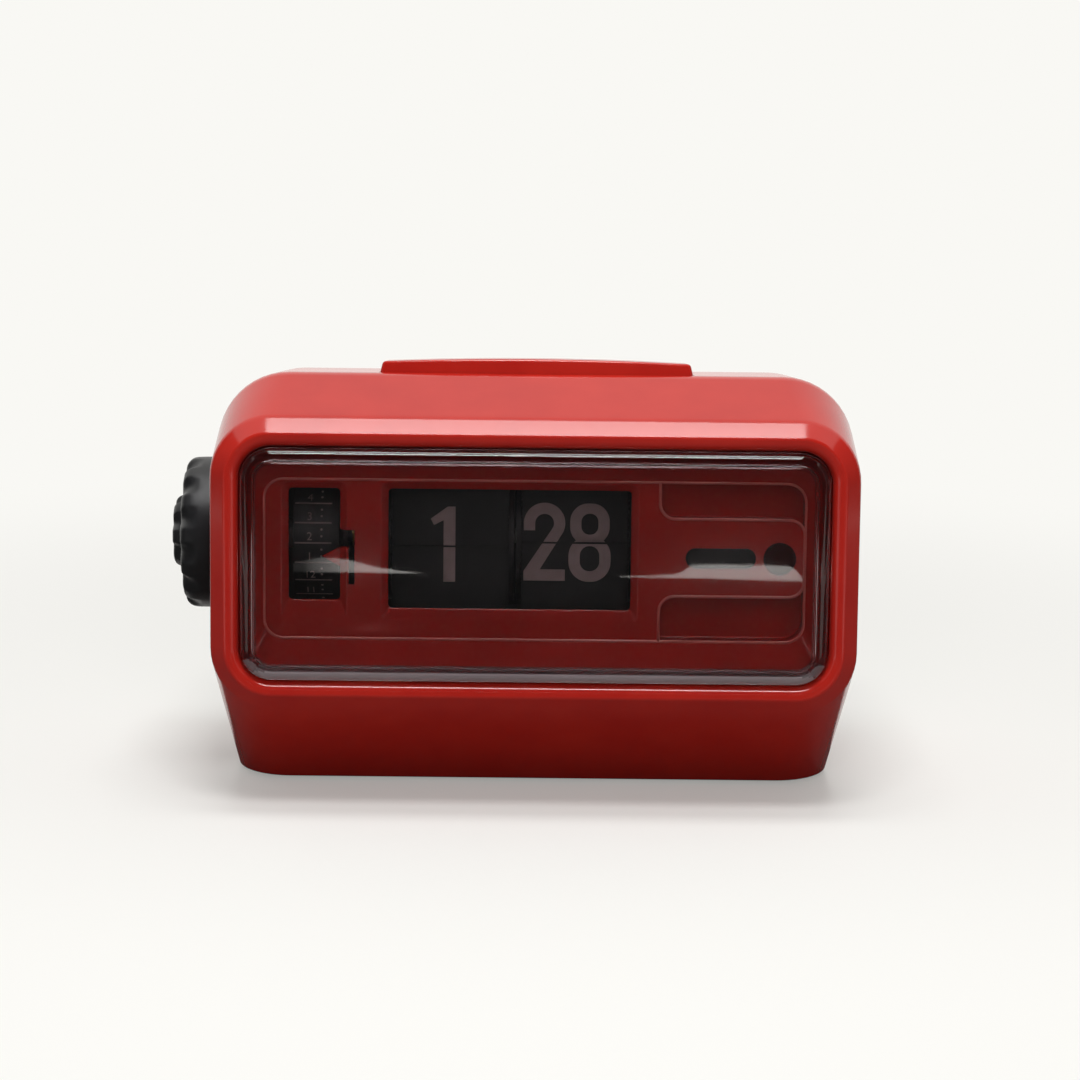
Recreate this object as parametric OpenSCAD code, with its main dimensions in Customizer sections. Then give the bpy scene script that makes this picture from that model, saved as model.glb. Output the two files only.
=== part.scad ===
// Flip alarm clock: a moulded case with a leaning window frame, split-leaf hour
// and minute drums, an alarm-time drum and two concentric setting knobs on the
// left side. Millimetres, +Z up, window towards -Y, origin on the table under
// the middle of the base.

/* [Case] */
// Width of the body at its widest
body_w = 166; // [160:1:180]
// How much narrower the base is than the body, on each side
base_tuck = 3; // [0:0.5:6]
// Depth of the base from its front edge to the rear face
base_d = 57; // [54:1:70]
// Corner radius at the front of the base, seen from above
base_front_r = 15; // [8:1:20]
// Corner radius at the rear of the base, seen from above
base_rear_r = 5; // [4:0.5:10]
// Height of the crest above the table
crest_h = 110.9; // [108:0.1:120]
// Distance of the crest behind the middle of the window
crest_back = 28; // [22:1:32]
// Shoulder radius at the crest, seen from the front
shoulder_r = 18.8; // [12:0.2:26]
// Shoulder radius at the rear
rear_shoulder_r = 16.5; // [10:0.5:24]
// How much the body narrows towards the rear, on each side
rear_taper = 1.5; // [0:0.5:3]
// Drop of the top from the crest to the rear
top_fall = 7.8; // [4:0.2:9]
// Wall thickness of the case
case_wall = 2.4; // [1.8:0.2:3]
// Height of the rubber feet below the case
foot_h = 1; // [0.6:0.2:2]
// Radius of a rubber foot
foot_r = 5; // [3:0.5:8]
// Depth of a foot's recess in the case
foot_sink = 1; // [0.6:0.2:1.4]
// Distance of the feet from the base's edges
foot_inset = 12; // [10:1:16]

/* [Window frame] */
// Angle by which the window leans back
lean = 5; // [2:1:8]
// Height of the crest above the window's middle
crest_over_face = 45.3; // [43:0.1:47]
// Distance of the window's middle ahead of the base's middle
face_reach = 56.5; // [54:0.5:60]
// Height of the frame outside
frame_h = 75.4; // [73:0.2:78]
// Outer corner radius of the frame
frame_r = 16; // [13:0.5:20]
// Width of the bevel round the frame
bevel_w = 4; // [2:0.2:5]
// Depth of the bevel
bevel_d = 4.4; // [2:0.2:6]
// Width of the flat band between bevel and lens
band_w = 3.6; // [2.6:0.2:4.6]
// Depth of the front wall behind the face
front_wall = 8; // [7:0.5:9]

/* [Lens and dial] */
// Thickness of the lens
lens_t = 2; // [1.2:0.2:2.6]
// How far the lens stands proud of the frame
lens_proud = 1; // [0.4:0.2:2]
// Rounding of the lens rim
lens_round = 2.6; // [1.6:0.2:3.4]
// Depth behind the face at which the lens sits on the dial panel
lens_seat = 3; // [2.4:0.2:3.6]
// Depth of the dial's raised plateau behind the face
plateau_n = 8; // [7:0.5:8.5]
// Depth of the sunken floor beside the tongue
floor_n = 14; // [12:0.5:15]
// Wall thickness of the dial panel
panel_wall = 2; // [1.4:0.2:2.4]
// Width of the sloping border at each end of the dial
dial_border = 6; // [5:0.2:8]
// Lower edge of the dial from the window's middle
dial_lo = -19.8; // [-21:0.2:-18.6]
// Upper edge of the dial from the window's middle
dial_hi = 21.4; // [20.6:0.2:23]
// Corner radius of the dial
dial_r = 5; // [3:0.5:8]
// Distance of the tongue's root from the display opening
tongue_gap = 7.3; // [6:0.1:10]
// Lower edge of the tongue
tongue_lo = -8; // [-10:0.5:-6]
// Upper edge of the tongue
tongue_hi = 12; // [10:0.5:14]
// Rounding of the tongue's end and of its roots
tongue_r = 4; // [2:0.5:6]
// Distance between the drum opening and the display opening
drum_to_display = 12.4; // [11.8:0.2:14]
// Width of the display opening
display_w = 62.3; // [62:0.1:64]
// Lower edge of the display opening
display_lo = -15.4; // [-17:0.2:-14]
// Upper edge of the display opening
display_hi = 18.9; // [18.4:0.1:19.5]
// Width of the bevel round the two openings
opening_bevel = 1.8; // [0.6:0.2:1.8]
// Height of the sloping sill at the foot of the display opening
display_sill = 3.4; // [1:0.2:5]
// Height of the sloping sill at the foot of the drum opening
drum_sill = 5.4; // [1:0.2:6]
// Distance of the drum opening from the left end of the dial
drum_margin = 6.2; // [5.6:0.2:7]
// Width of the drum opening
drum_open_w = 13.2; // [12.8:0.1:14]
// Width of the pointer's notch beside the drum opening
notch_w = 3.8; // [3:0.2:5]
// Height of the pointer's notch
notch_h = 14; // [11:0.5:16]
// Width of the slot that frees the pointer's tab
slot_w = 1.5; // [1:0.1:2]
// Width of the badge plate
badge_w = 18; // [12:0.5:20]
// Height of the badge plate
badge_h = 5.2; // [4:0.2:7]
// Distance between the middles of the badge plate and the lamp
badge_to_lamp = 15.1; // [14:0.1:16]
// Distance of the lamp's middle from the end of the tongue
lamp_margin = 6.6; // [6.4:0.1:9]
// Radius of the lamp lens
lamp_r = 3.8; // [2.6:0.1:4]

/* [Drums and leaves] */
// Depth of the drums' common axis behind the face
axis_n = 36; // [35:0.5:38]
// Height of the drums' common axis from the window's middle
axis_w = 3.8; // [3:0.2:4.6]
// Radius of the ring of leaf pivots
pivot_r = 16; // [15.4:0.1:16.4]
// Height of a leaf from its pivot to its tip
leaf_h = 15.5; // [14.5:0.1:16]
// Thickness of a leaf
leaf_t = 0.1; // [0.06:0.01:0.12]
// Angle of the top leaf's pivot above the drum's middle
first_leaf_a = 4; // [3.6:0.2:4.4]
// Distance of the hour leaves from the left edge of the display opening
hour_margin = 0.4; // [0.2:0.1:1]
// Gap between the hour leaves and the minute leaves
leaves_gap = 3.7; // [3.4:0.1:4.6]
// Width of the minute leaves' drum inside its flanges
minute_w = 28.2; // [27:0.1:28.6]
// Width of the hour leaves' drum inside its flanges
hour_w = 30.8; // [29:0.1:31]
// Thickness of a spool's flanges
flange_t = 1.3; // [1.2:0.1:1.5]
// Radius of the alarm drum
drum_r = 20; // [17:0.5:20.5]
// Width of the alarm drum
drum_w = 11.9; // [10:0.1:12.4]
// Wall of the alarm drum
drum_wall = 1.5; // [1:0.1:2.5]

/* [Movement] */
// Radius of the central shaft
shaft_r = 2; // [1.6:0.1:2.2]
// Outer radius of the alarm sleeve
sleeve_r = 4; // [3.4:0.1:5]
// Thickness of the movement plates
plate_t = 1.5; // [1.2:0.1:2]
// Room from the outer face of the left plate to the hour drum
left_room = 8.7; // [8.4:0.1:10]
// Room from the minute drum to the right plate
right_room = 5.1; // [4.8:0.1:7]
// Distance of the movement's feet behind the face
plate_front_n = 18; // [17.5:0.5:19]
// Depth of the plates from front to rear
plate_d = 47; // [45:1:48]
// Lower edge of the plates from the window's middle
plate_lo = -32; // [-34:1:-31]
// Upper edge of the plates from the window's middle
plate_hi = 31.5; // [31:0.5:32.5]
// Radius of the posts between the plates
post_r = 2.2; // [1.8:0.1:2.5]
// Distance from the shaft to the back gear's stud
back_c = 20; // [19:0.5:21]
// Distance from the shaft to the motor's pinion
motor_c = 21.6; // [20:0.4:22.4]
// Teeth on each small pinion of the hour reduction
pinion_teeth = 10; // [10]
// Teeth on the back wheel
back_teeth = 40; // [40]
// Teeth on the hour wheel
hour_teeth = 60; // [60]
// Teeth on the drive wheel
drive_teeth = 60; // [60]
// Teeth on the motor's pinion
motor_teeth = 12; // [12]
// Thickness of the gears
gear_t = 1.6; // [1.2:0.1:1.8]
// Radius of the motor's can
motor_r = 19.5; // [16:0.5:20]
// Length of the motor's can
motor_l = 20; // [14:1:24]

/* [Knobs] */
// Radius of the ring knob
ring_r = 20; // [17:0.5:22]
// Depth of the ring knob
ring_d = 8.7; // [7:0.1:10]
// Scoops cut round the ring knob
ring_scoops = 10; // [8:1:16]
// Radius of the middle knob
middle_r = 10; // [8:0.5:12]
// How far the middle knob stands out of the ring
middle_proud = 3.2; // [2:0.2:6]
// Radius of a scoop
scoop_r = 2.5; // [1.8:0.1:3]
// Scoops cut round the middle knob
middle_scoops = 7; // [6:1:12]

/* [Snooze bar] */
// Length of the bar
bar_l = 82; // [70:1:90]
// Depth of the bar from front to rear in its middle
bar_d = 21; // [16:1:24]
// Height of the bar above the top of the case
bar_h = 3.9; // [3.6:0.1:6]
// Bow of the bar's front edge
bar_bow = 3; // [1:0.5:4]
// Crown of the bar along its length
bar_crown = 1; // [0.4:0.2:1.6]
// Travel of the bar
bar_travel = 2.5; // [1.5:0.1:2.8]
// Distance of the bar's front edge behind the crest
bar_back = 1; // [0.6:0.2:3]
// Free length of the bar's springs as fitted
spring_l = 7; // [6:0.2:8]
// Turns of a spring
spring_turns = 5; // [4:1:6]
// Wire radius of a spring
spring_wire = 0.4; // [0.3:0.05:0.5]

/* [Rear] */
// Thickness of the rear cover
cover_t = 2.4; // [1.8:0.2:3]
// Depth by which the cover is set into the case
cover_sink = 1; // [0.6:0.2:2]
// Radius of the mains lead's inlet
inlet_r = 2.6; // [2:0.1:3.5]
// Travel of the alarm switch
switch_travel = 5; // [3:0.5:6]
// Screw shank radius
screw_r = 1.3; // [1:0.1:1.5]

/* [Hidden] */
$fn = 64;
hull_fn = 32;
slab_t = 0.2;
// Running clearance of a shaft or stem in its hole
run_gap = 0.06;
// Clearance of pieces that are pushed in or dropped in
fit_gap = 0.3;
// Overlap that joins the features of one moulding
root = 1.5;
eps = 0.1;

base_w = body_w - 2 * base_tuck;
face_y = -face_reach;
face_rise = crest_h - crest_over_face;
crest_y = face_y + crest_back;
rear_y = base_d / 2;
top_slope = atan(top_fall / (rear_y - crest_y));
open_w = body_w - 2 * (bevel_w + band_w);
open_h = frame_h - 2 * (bevel_w + band_w);
open_r = frame_r - bevel_w - band_w;

dial_w = open_w - 2 * dial_border;
dial_h = dial_hi - dial_lo;
dial_mid = (dial_hi + dial_lo) / 2;
panel_back = floor_n + panel_wall;
flange_w = body_w - 2 * (case_wall + fit_gap);
flange_h = frame_h - 2 * (case_wall + fit_gap);
flange_n_t = 1.6;
panel_screw_u = (open_w + flange_w) / 4;
panel_screw_w = 15;
drum_open_left = drum_margin - dial_w / 2;
drum_open_right = drum_open_left + drum_open_w;
display_left = drum_open_right + drum_to_display;
display_right = display_left + display_w;
tongue_start = display_right + tongue_gap;
tongue_mid = (tongue_lo + tongue_hi) / 2;
lamp_u = dial_w / 2 - lamp_margin;
badge_u = lamp_u - badge_to_lamp;
pointer_w = axis_w - 2.6;
pointer_half = 2.7;
lug_w = 27;
lug_size = 8;
panel_boss_r = 3.4;

spool_r = pivot_r + 1.3;
hub_r = shaft_r + 3;
groove_half = 0.6;
groove_d = 1;
tab_l = 1.1;
tab_half = 0.35;
leaf_gap = 0.3;
minute_count = 60;
hour_count = 24;
minute_root = 0.7;
hour_root = 1.95;
hour_left = display_left + hour_margin;
hour_right = hour_left + hour_w - 2 * leaf_gap;
minute_left = hour_right + leaves_gap;
minute_right = minute_left + minute_w - 2 * leaf_gap;
leaf_sweep = axis_w + pivot_r * sin(first_leaf_a) + leaf_h + fit_gap;
hour_flange_left = hour_left - leaf_gap - flange_t;
minute_flange_right = minute_left - leaf_gap + minute_w + flange_t;

left_plate_u = hour_flange_left - left_room;
right_plate_u = minute_flange_right + right_room;
bush_r = shaft_r + 2;
bush_flange_r = bush_r + 1.2;
pinion_u = left_plate_u + plate_t + 0.7;
hour_wheel_u = pinion_u + gear_t + 1;
drive_u = minute_flange_right + 1.3;
back_n = axis_n + back_c;
motor_n = axis_n + motor_c;
stud_r = 1.5;
drum_right = drum_open_right - 0.8;
drum_left = drum_right - drum_w;
post_edge = 3.3;
front_post_n = plate_front_n + 6;
rear_post_n = plate_front_n + 34.3;
post_spots = [[front_post_n, plate_hi - post_edge], [rear_post_n, plate_hi - post_edge],
    [rear_post_n, plate_lo + post_edge], [front_post_n + 1.5, plate_lo + post_edge]];
ear_r = 4;
ear_off = 2.6;
pinion_hole_r = 6;

side_x = body_w / 2;
knob_gap = 0.7;
ring_back = -side_x - knob_gap;
ring_face = ring_back - ring_d;
middle_face = ring_face - middle_proud;
ring_floor = 2.8;
middle_gap = 0.5;

guide_x = 28;
stem_r = 2.2;
bracket_t = 1.2;
bar_flange_t = 1.6;
bar_flange_w = 2;
bar_mid_y = bar_back + bar_d / 2;
bracket_z = -(case_wall + fit_gap + bar_flange_t + spring_l);
bracket_x = bar_l / 2 + 12;
bracket_d = 12;
spring_r = stem_r + 1.2;

boss_r = 3.6;
boss_l = 10;
cover_y = rear_y - cover_sink - cover_t;
boss_off = 4.4;
low_boss = [base_w / 2 - 22, foot_h + case_wall + boss_off, -1];
high_boss = [body_w / 2 - 35, crest_h - top_fall - case_wall - boss_off, 1];
screw_head_r = 2.8;
screw_head_t = 1.8;
inlet_x = base_w / 2 - 28;
inlet_z = foot_h + 23;
grommet_r = inlet_r + 1.8;
switch_x = -40;
switch_z = crest_h - top_fall - 20;
switch_w = 7;
switch_h = 5;

case_red = [0.78, 0.11, 0.08];
black = [0.1, 0.1, 0.11];
smoke = [0.25, 0.2, 0.22, 0.45];
steel = [0.72, 0.73, 0.74];
brass = [0.76, 0.62, 0.33];
white = [0.88, 0.87, 0.83];

// Places children in the leaning window's frame: X across, Y into the clock, Z up the window
module in_face() {
    translate([0, face_y, face_rise]) rotate([-lean, 0, 0]) children();
}

// Places children on the sloping top, with Z square to it and the origin at the crest
module on_top() {
    translate([0, crest_y, crest_h]) rotate([-top_slope, 0, 0]) children();
}

// Extrudes a window-plane outline from depth n1 to depth n2
module across_face(n1, n2) {
    translate([0, n2, 0]) rotate([90, 0, 0]) linear_extrude(n2 - n1) children();
}

// Extrudes an outline drawn in depth and height along the drums' axis
module along_axis(u1, u2) {
    translate([u1, 0, 0]) rotate([90, 0, 90]) linear_extrude(u2 - u1) children();
}

// A round bar along the drums' axis direction
module rod(u1, u2, r) {
    translate([u1, 0, 0]) rotate([0, 90, 0]) cylinder(r = r, h = u2 - u1);
}

// A round bar that runs into the clock
module peg(n1, n2, r) {
    translate([0, n1, 0]) rotate([-90, 0, 0]) cylinder(r = r, h = n2 - n1);
}

module rounded(w, h, r) {
    square([w - 2 * r, h], center = true);
    square([w, h - 2 * r], center = true);
    for (sx = [-1, 1], sy = [-1, 1])
        translate([sx * (w / 2 - r), sy * (h / 2 - r)]) circle(r);
}

// Four thin discs at the corners of a rounded rectangle, for hulls in the window's frame
module corner_discs(w, h, r, n) {
    for (sx = [-1, 1], sz = [-1, 1])
        translate([sx * (w / 2 - r), n, sz * (h / 2 - r)]) rotate([-90, 0, 0])
            cylinder(r = r, h = slab_t, $fn = hull_fn);
}

module at_axis() {
    in_face() translate([0, axis_n, axis_w]) children();
}

// The outer form of the case, or with an inset the hollow inside it
module case_form(inset, front_n, rear_over) {
    hull() {
        in_face() corner_discs(body_w - 2 * inset, frame_h - 2 * inset, frame_r - inset, front_n);
        children();
        for (s = [-1, 1]) {
            translate([s * (body_w / 2 - shoulder_r), crest_y, crest_h - shoulder_r]) rotate([-90, 0, 0])
                cylinder(r = shoulder_r - inset, h = slab_t, $fn = hull_fn);
            translate([s * (body_w / 2 - rear_taper - rear_shoulder_r), rear_y + rear_over - slab_t,
                crest_h - top_fall - rear_shoulder_r]) rotate([-90, 0, 0])
                cylinder(r = rear_shoulder_r - inset, h = slab_t, $fn = hull_fn);
            translate([s * (base_w / 2 - base_front_r), base_front_r - base_d / 2, foot_h + inset])
                cylinder(r = base_front_r - inset, h = slab_t, $fn = hull_fn);
            translate([s * (base_w / 2 - base_rear_r), rear_y - base_rear_r + rear_over, foot_h + inset])
                cylinder(r = base_rear_r - inset, h = slab_t, $fn = hull_fn);
        }
    }
}

module at_cover_bosses() {
    for (s = [-1, 1], spot = [low_boss, high_boss])
        translate([s * spot[0], cover_y, spot[1]]) children();
}

// Screw bosses for the rear cover, each on a web from the floor or the ceiling
module cover_bosses() {
    web_t = 3;
    web_h = boss_off + case_wall / 2;
    for (s = [-1, 1], spot = [low_boss, high_boss])
        translate([s * spot[0], cover_y - boss_l, spot[1]]) {
            peg(0, boss_l, boss_r);
            translate([-web_t / 2, 0, spot[2] > 0 ? 0 : -web_h]) cube([web_t, boss_l, web_h]);
        }
}

module at_feet() {
    for (sx = [-1, 1], sy = [-1, 1])
        translate([sx * (base_w / 2 - foot_inset), sy * (base_d / 2 - foot_inset), 0]) children();
}

// Outline of the bar seen from above: bowed front, straight rear
module bar_plan(grow) {
    bow_r = (pow(bar_l / 2, 2) + pow(bar_bow, 2)) / (2 * bar_bow);
    intersection() {
        translate([0, bar_back + bow_r - grow]) circle(bow_r, $fn = 360);
        translate([-bar_l / 2 - grow, bar_back - grow])
            square([bar_l + 2 * grow, bar_d + 2 * grow]);
    }
}

module at_panel_screws() {
    for (sx = [-1, 1], sz = [-1, 1])
        translate([sx * panel_screw_u, 0, sz * panel_screw_w]) children();
}

module case_shell() {
    color(case_red) difference() {
        union() {
            difference() {
                case_form(0, bevel_d, 0) in_face()
                    corner_discs(body_w - 2 * bevel_w, frame_h - 2 * bevel_w, frame_r - bevel_w, 0);
                case_form(case_wall, front_wall, case_wall + 1);
            }
            cover_bosses();
            on_top() for (s = [-1, 1])
                translate([s * bracket_x, bar_mid_y, bracket_z])
                    cylinder(r = boss_r, h = -bracket_z - case_wall / 2);
        }
        in_face() across_face(-eps, front_wall + eps) rounded(open_w, open_h, open_r);
        at_axis() rod(-side_x - 1, -side_x + 3 * case_wall, sleeve_r + run_gap);
        on_top() translate([0, 0, -2 * case_wall]) linear_extrude(3 * case_wall) bar_plan(fit_gap);
        at_feet() cylinder(r = foot_r + run_gap, h = foot_h + foot_sink);
        at_cover_bosses() peg(1 - boss_l, eps, screw_r + run_gap);
        in_face() at_panel_screws() peg(front_wall - 4, front_wall + eps, screw_r + run_gap);
        on_top() for (s = [-1, 1])
            translate([s * bracket_x, bar_mid_y, bracket_z - eps])
                cylinder(r = screw_r + run_gap, h = 6);
    }
}

// Slots that let the buzzer be heard
module sound_slots() {
    slot_count = 8;
    slot_pitch = 5;
    slot_h = 26;
    slot_open = 2;
    for (i = [0 : slot_count - 1])
        translate([(i - (slot_count - 1) / 2) * slot_pitch, cover_y - eps, face_rise + fit_gap - slot_h])
            cube([slot_open, cover_t + 2 * eps, slot_h]);
}

module rear_cover() {
    rail_l = switch_w + switch_travel + 6;
    rail_z = switch_h / 2 + 2 + fit_gap;
    color(black) difference() {
        union() {
            intersection() {
                case_form(case_wall + fit_gap, front_wall, case_wall + 1);
                translate([-body_w, cover_y, 0]) cube([2 * body_w, cover_t, 2 * crest_h]);
            }
            for (s = [-1, 1])
                translate([switch_x + switch_travel / 2 - rail_l / 2, cover_y - 3,
                    switch_z + s * (rail_z + 0.8) - 0.8]) cube([rail_l, 3 + eps, 1.6]);
            for (s = [-1, 1])
                translate([switch_x + switch_travel / 2 - rail_l / 2, cover_y - 3,
                    switch_z + s * rail_z - 0.8]) cube([rail_l, 1.2, 1.6]);
        }
        at_cover_bosses() peg(-eps, cover_t + eps, screw_r + 2 * run_gap);
        at_cover_bosses() peg(cover_t - screw_head_t / 2, cover_t + eps, screw_head_r + fit_gap);
        translate([inlet_x, cover_y, inlet_z]) peg(-eps, cover_t + eps, grommet_r + run_gap);
        translate([switch_x - switch_w / 2 - fit_gap, cover_y - eps, switch_z - switch_h / 2 - fit_gap])
            cube([switch_w + switch_travel + 2 * fit_gap, cover_t + 2 * eps, switch_h + 2 * fit_gap]);
        sound_slots();
    }
}

module cover_screws() {
    color(steel) at_cover_bosses() {
        peg(cover_t - screw_head_t / 2, cover_t + screw_head_t / 2, screw_head_r);
        peg(-boss_l + 3, cover_t, screw_r);
    }
}

module rubber_feet() {
    color(black) at_feet() cylinder(r = foot_r, h = foot_h + foot_sink);
}

// A grommet that grips the cover between two flanges
module cord_gland() {
    flange = grommet_r + 1.6;
    color(black) translate([inlet_x, cover_y, inlet_z]) difference() {
        union() {
            peg(-1.4, cover_t + 1.6, grommet_r);
            peg(-1.4, 0, flange);
            peg(cover_t, cover_t + 1.6, flange);
        }
        peg(-2, cover_t + 2, inlet_r);
    }
}

module alarm_switch() {
    ridge = 0.8;
    color(white) translate([switch_x, cover_y, switch_z]) {
        translate([-switch_w / 2, -eps, -switch_h / 2]) cube([switch_w, cover_t + 1.6, switch_h]);
        translate([-switch_w / 2 - 2, -1.5, -switch_h / 2 - 2]) cube([switch_w + 4, 1.4, switch_h + 4]);
        for (i = [-1 : 1])
            translate([i * 2 - ridge / 2, cover_t + 1, -switch_h / 2]) cube([ridge, 1.2, switch_h]);
    }
}

module front_lens() {
    w = open_w - 2 * fit_gap;
    h = open_h - 2 * fit_gap;
    r = open_r - fit_gap;
    soft = 0.3 * lens_round;
    color(smoke) in_face() difference() {
        hull() {
            corner_discs(w - 2 * lens_round, h - 2 * lens_round, r - lens_round, -lens_proud);
            corner_discs(w - 2 * soft, h - 2 * soft, r - soft, soft - lens_proud);
            corner_discs(w, h, r, lens_round - lens_proud);
            corner_discs(w, h, r, lens_seat - slab_t);
        }
        hull() {
            corner_discs(w - 2 * lens_t - lens_round, h - 2 * lens_t - lens_round, r - lens_t,
                lens_t - lens_proud);
            corner_discs(w - 2 * lens_t, h - 2 * lens_t, r - lens_t, lens_seat);
        }
    }
}

// The raised area of the dial: full height at the left, a rounded tongue at the right
module plateau_outline(inset) {
    left = -dial_w / 2 + inset - eps;
    end = dial_w / 2 + eps - inset;
    start = tongue_start - inset;
    end_r = tongue_r - inset;
    lo = tongue_lo + inset;
    hi = tongue_hi - inset;
    difference() {
        union() {
            translate([left, dial_lo + inset]) square([start - left, dial_h - 2 * inset]);
            hull() {
                translate([start - eps, lo]) square([eps, hi - lo]);
                for (edge = [lo + end_r, hi - end_r])
                    translate([end - end_r, edge]) circle(end_r);
            }
            translate([start - eps, lo - tongue_r])
                square([tongue_r + eps, hi - lo + 2 * tongue_r]);
        }
        for (edge = [lo - tongue_r, hi + tongue_r])
            translate([start + tongue_r, edge]) circle(tongue_r);
    }
}

// A rectangular opening through the plateau, wider at the front, with a sloping sill at its foot
module bevelled_opening(left, right, lo, hi, sill) {
    mid = (left + right) / 2;
    w = right - left;
    h = hi - lo - sill;
    hole_mid = (lo + sill + hi) / 2;
    front_mid = (lo + hi + opening_bevel) / 2;
    translate([mid, 0, hole_mid])
        across_face(plateau_n - eps, plateau_n + panel_wall + eps) rounded(w, h, 1);
    hull() {
        translate([mid, 0, front_mid])
            corner_discs(w + 2 * opening_bevel, hi - lo + opening_bevel, 2, plateau_n - slab_t);
        translate([mid, 0, hole_mid])
            corner_discs(w - 0.4, h - 0.4, 0.8, plateau_n + panel_wall - 0.4);
    }
}

// A notch beside the drum opening, with a slot below it that leaves a tab for the pointer
module pointer_notch() {
    top = pointer_w + notch_h / 2;
    translate([drum_open_right - eps, pointer_w + pointer_half])
        square([notch_w + eps, top - pointer_w - pointer_half]);
    translate([drum_open_right + notch_w - slot_w, top - notch_h]) square([slot_w, notch_h]);
}

module at_movement_feet() {
    for (spot = [[left_plate_u + plate_t + lug_size / 2, 1], [left_plate_u + plate_t + lug_size / 2, -1],
            [right_plate_u - lug_size / 2, 1], [right_plate_u - lug_size / 2, -1]])
        translate([spot[0], 0, spot[1] * lug_w]) children();
}

module dial_panel() {
    mouth_w = open_w - 2 * fit_gap;
    mouth_h = open_h - 2 * fit_gap;
    mouth_r = open_r - fit_gap;
    lip = 1.2;
    color(case_red) in_face() difference() {
        union() {
            hull() {
                corner_discs(mouth_w, mouth_h, mouth_r, lens_seat);
                corner_discs(mouth_w, mouth_h, mouth_r, lens_seat + lip);
                translate([0, 0, dial_mid])
                    corner_discs(dial_w + 3 * panel_wall, dial_h + 3 * panel_wall, dial_r + panel_wall,
                        plateau_n + panel_wall);
            }
            across_face(front_wall, front_wall + flange_n_t) rounded(flange_w, flange_h, frame_r - case_wall);
            translate([0, 0, dial_mid]) across_face(plateau_n, panel_back)
                rounded(dial_w + 2 * panel_wall, dial_h + 2 * panel_wall, dial_r + panel_wall);
            at_movement_feet() peg(front_wall, plate_front_n, panel_boss_r);
        }
        hull() {
            corner_discs(mouth_w - 2 * lip, mouth_h - 2 * lip, mouth_r - lip, lens_seat - slab_t - eps);
            translate([0, 0, dial_mid]) corner_discs(dial_w, dial_h, dial_r, plateau_n - slab_t);
        }
        across_face(plateau_n - eps, floor_n) difference() {
            translate([0, dial_mid]) rounded(dial_w - 2 * fit_gap, dial_h - 2 * fit_gap, dial_r);
            plateau_outline(0);
        }
        across_face(plateau_n + panel_wall, panel_back + eps) {
            plateau_outline(panel_wall);
            translate([display_left, dial_mid]) square([display_w, leaf_sweep - dial_mid]);
        }
        bevelled_opening(display_left, display_right, display_lo, display_hi, display_sill);
        bevelled_opening(drum_open_left, drum_open_right, display_lo, display_hi, drum_sill);
        across_face(plateau_n - eps, plateau_n + panel_wall + eps) pointer_notch();
        translate([lamp_u, 0, tongue_mid]) peg(plateau_n - eps, plateau_n + panel_wall + eps, lamp_r + run_gap);
        at_panel_screws() peg(front_wall - eps, front_wall + flange_n_t + eps, screw_r + 2 * run_gap);
        at_movement_feet() peg(plate_front_n - 6, plate_front_n + eps, screw_r + run_gap);
    }
}

module panel_screws() {
    color(steel) in_face() at_panel_screws() {
        peg(front_wall - 3, front_wall + flange_n_t, screw_r);
        peg(front_wall + flange_n_t, front_wall + flange_n_t + 1.4, screw_r + 0.7);
    }
}

module badge_plate() {
    badge_t = 0.8;
    color(black) in_face() translate([badge_u, 0, tongue_mid]) across_face(plateau_n - badge_t, plateau_n)
        rounded(badge_w, badge_h, badge_h / 2 - 0.1);
}

module lamp_lens() {
    color([0.3, 0.03, 0.03]) in_face() translate([lamp_u, plateau_n, tongue_mid]) rotate([-90, 0, 0])
        rotate_extrude() polygon([[0, -1], [lamp_r - 0.8, -0.9], [lamp_r + 0.4, -0.5], [lamp_r + 0.4, 0],
            [lamp_r, 0], [lamp_r, panel_wall], [0, panel_wall]]);
}

module lamp_holder() {
    holder_l = 14;
    bulb_room = lamp_r - 0.3;
    color(white) in_face() translate([lamp_u, plateau_n + panel_wall, tongue_mid]) difference() {
        peg(0, holder_l, bulb_room + 0.8);
        peg(-eps, holder_l - 2, bulb_room);
    }
}

module lamp_bulb() {
    bulb_r = 2.6;
    color([0.9, 0.6, 0.45, 0.6]) in_face() translate([lamp_u, plateau_n + panel_wall + 12, tongue_mid])
        rotate([90, 0, 0]) {
            cylinder(r = bulb_r, h = 7);
            translate([0, 0, 7]) sphere(r = bulb_r);
        }
}

// A triangular pointer fixed behind the tab beside the drum opening
module alarm_pointer() {
    tip = drum_open_right - 4.8;
    root_u = drum_open_right + notch_w - slot_w - 0.2;
    pointer_t = 1;
    color(case_red) in_face() translate([0, 0, pointer_w])
        across_face(plateau_n + panel_wall, plateau_n + panel_wall + pointer_t)
            polygon([[tip, 0], [drum_open_right, -pointer_half], [root_u, -pointer_half],
                [root_u, pointer_half - 0.2], [drum_open_right, pointer_half - 0.2]]);
}

// A movement plate seen along the shaft, with feet that turn inwards
module plate_outline() {
    cut = 9;
    back = plate_front_n + plate_d;
    polygon([[plate_front_n, plate_lo], [back - cut, plate_lo], [back, plate_lo + cut],
        [back, plate_hi - cut], [back - cut, plate_hi], [plate_front_n, plate_hi]]);
}

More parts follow.
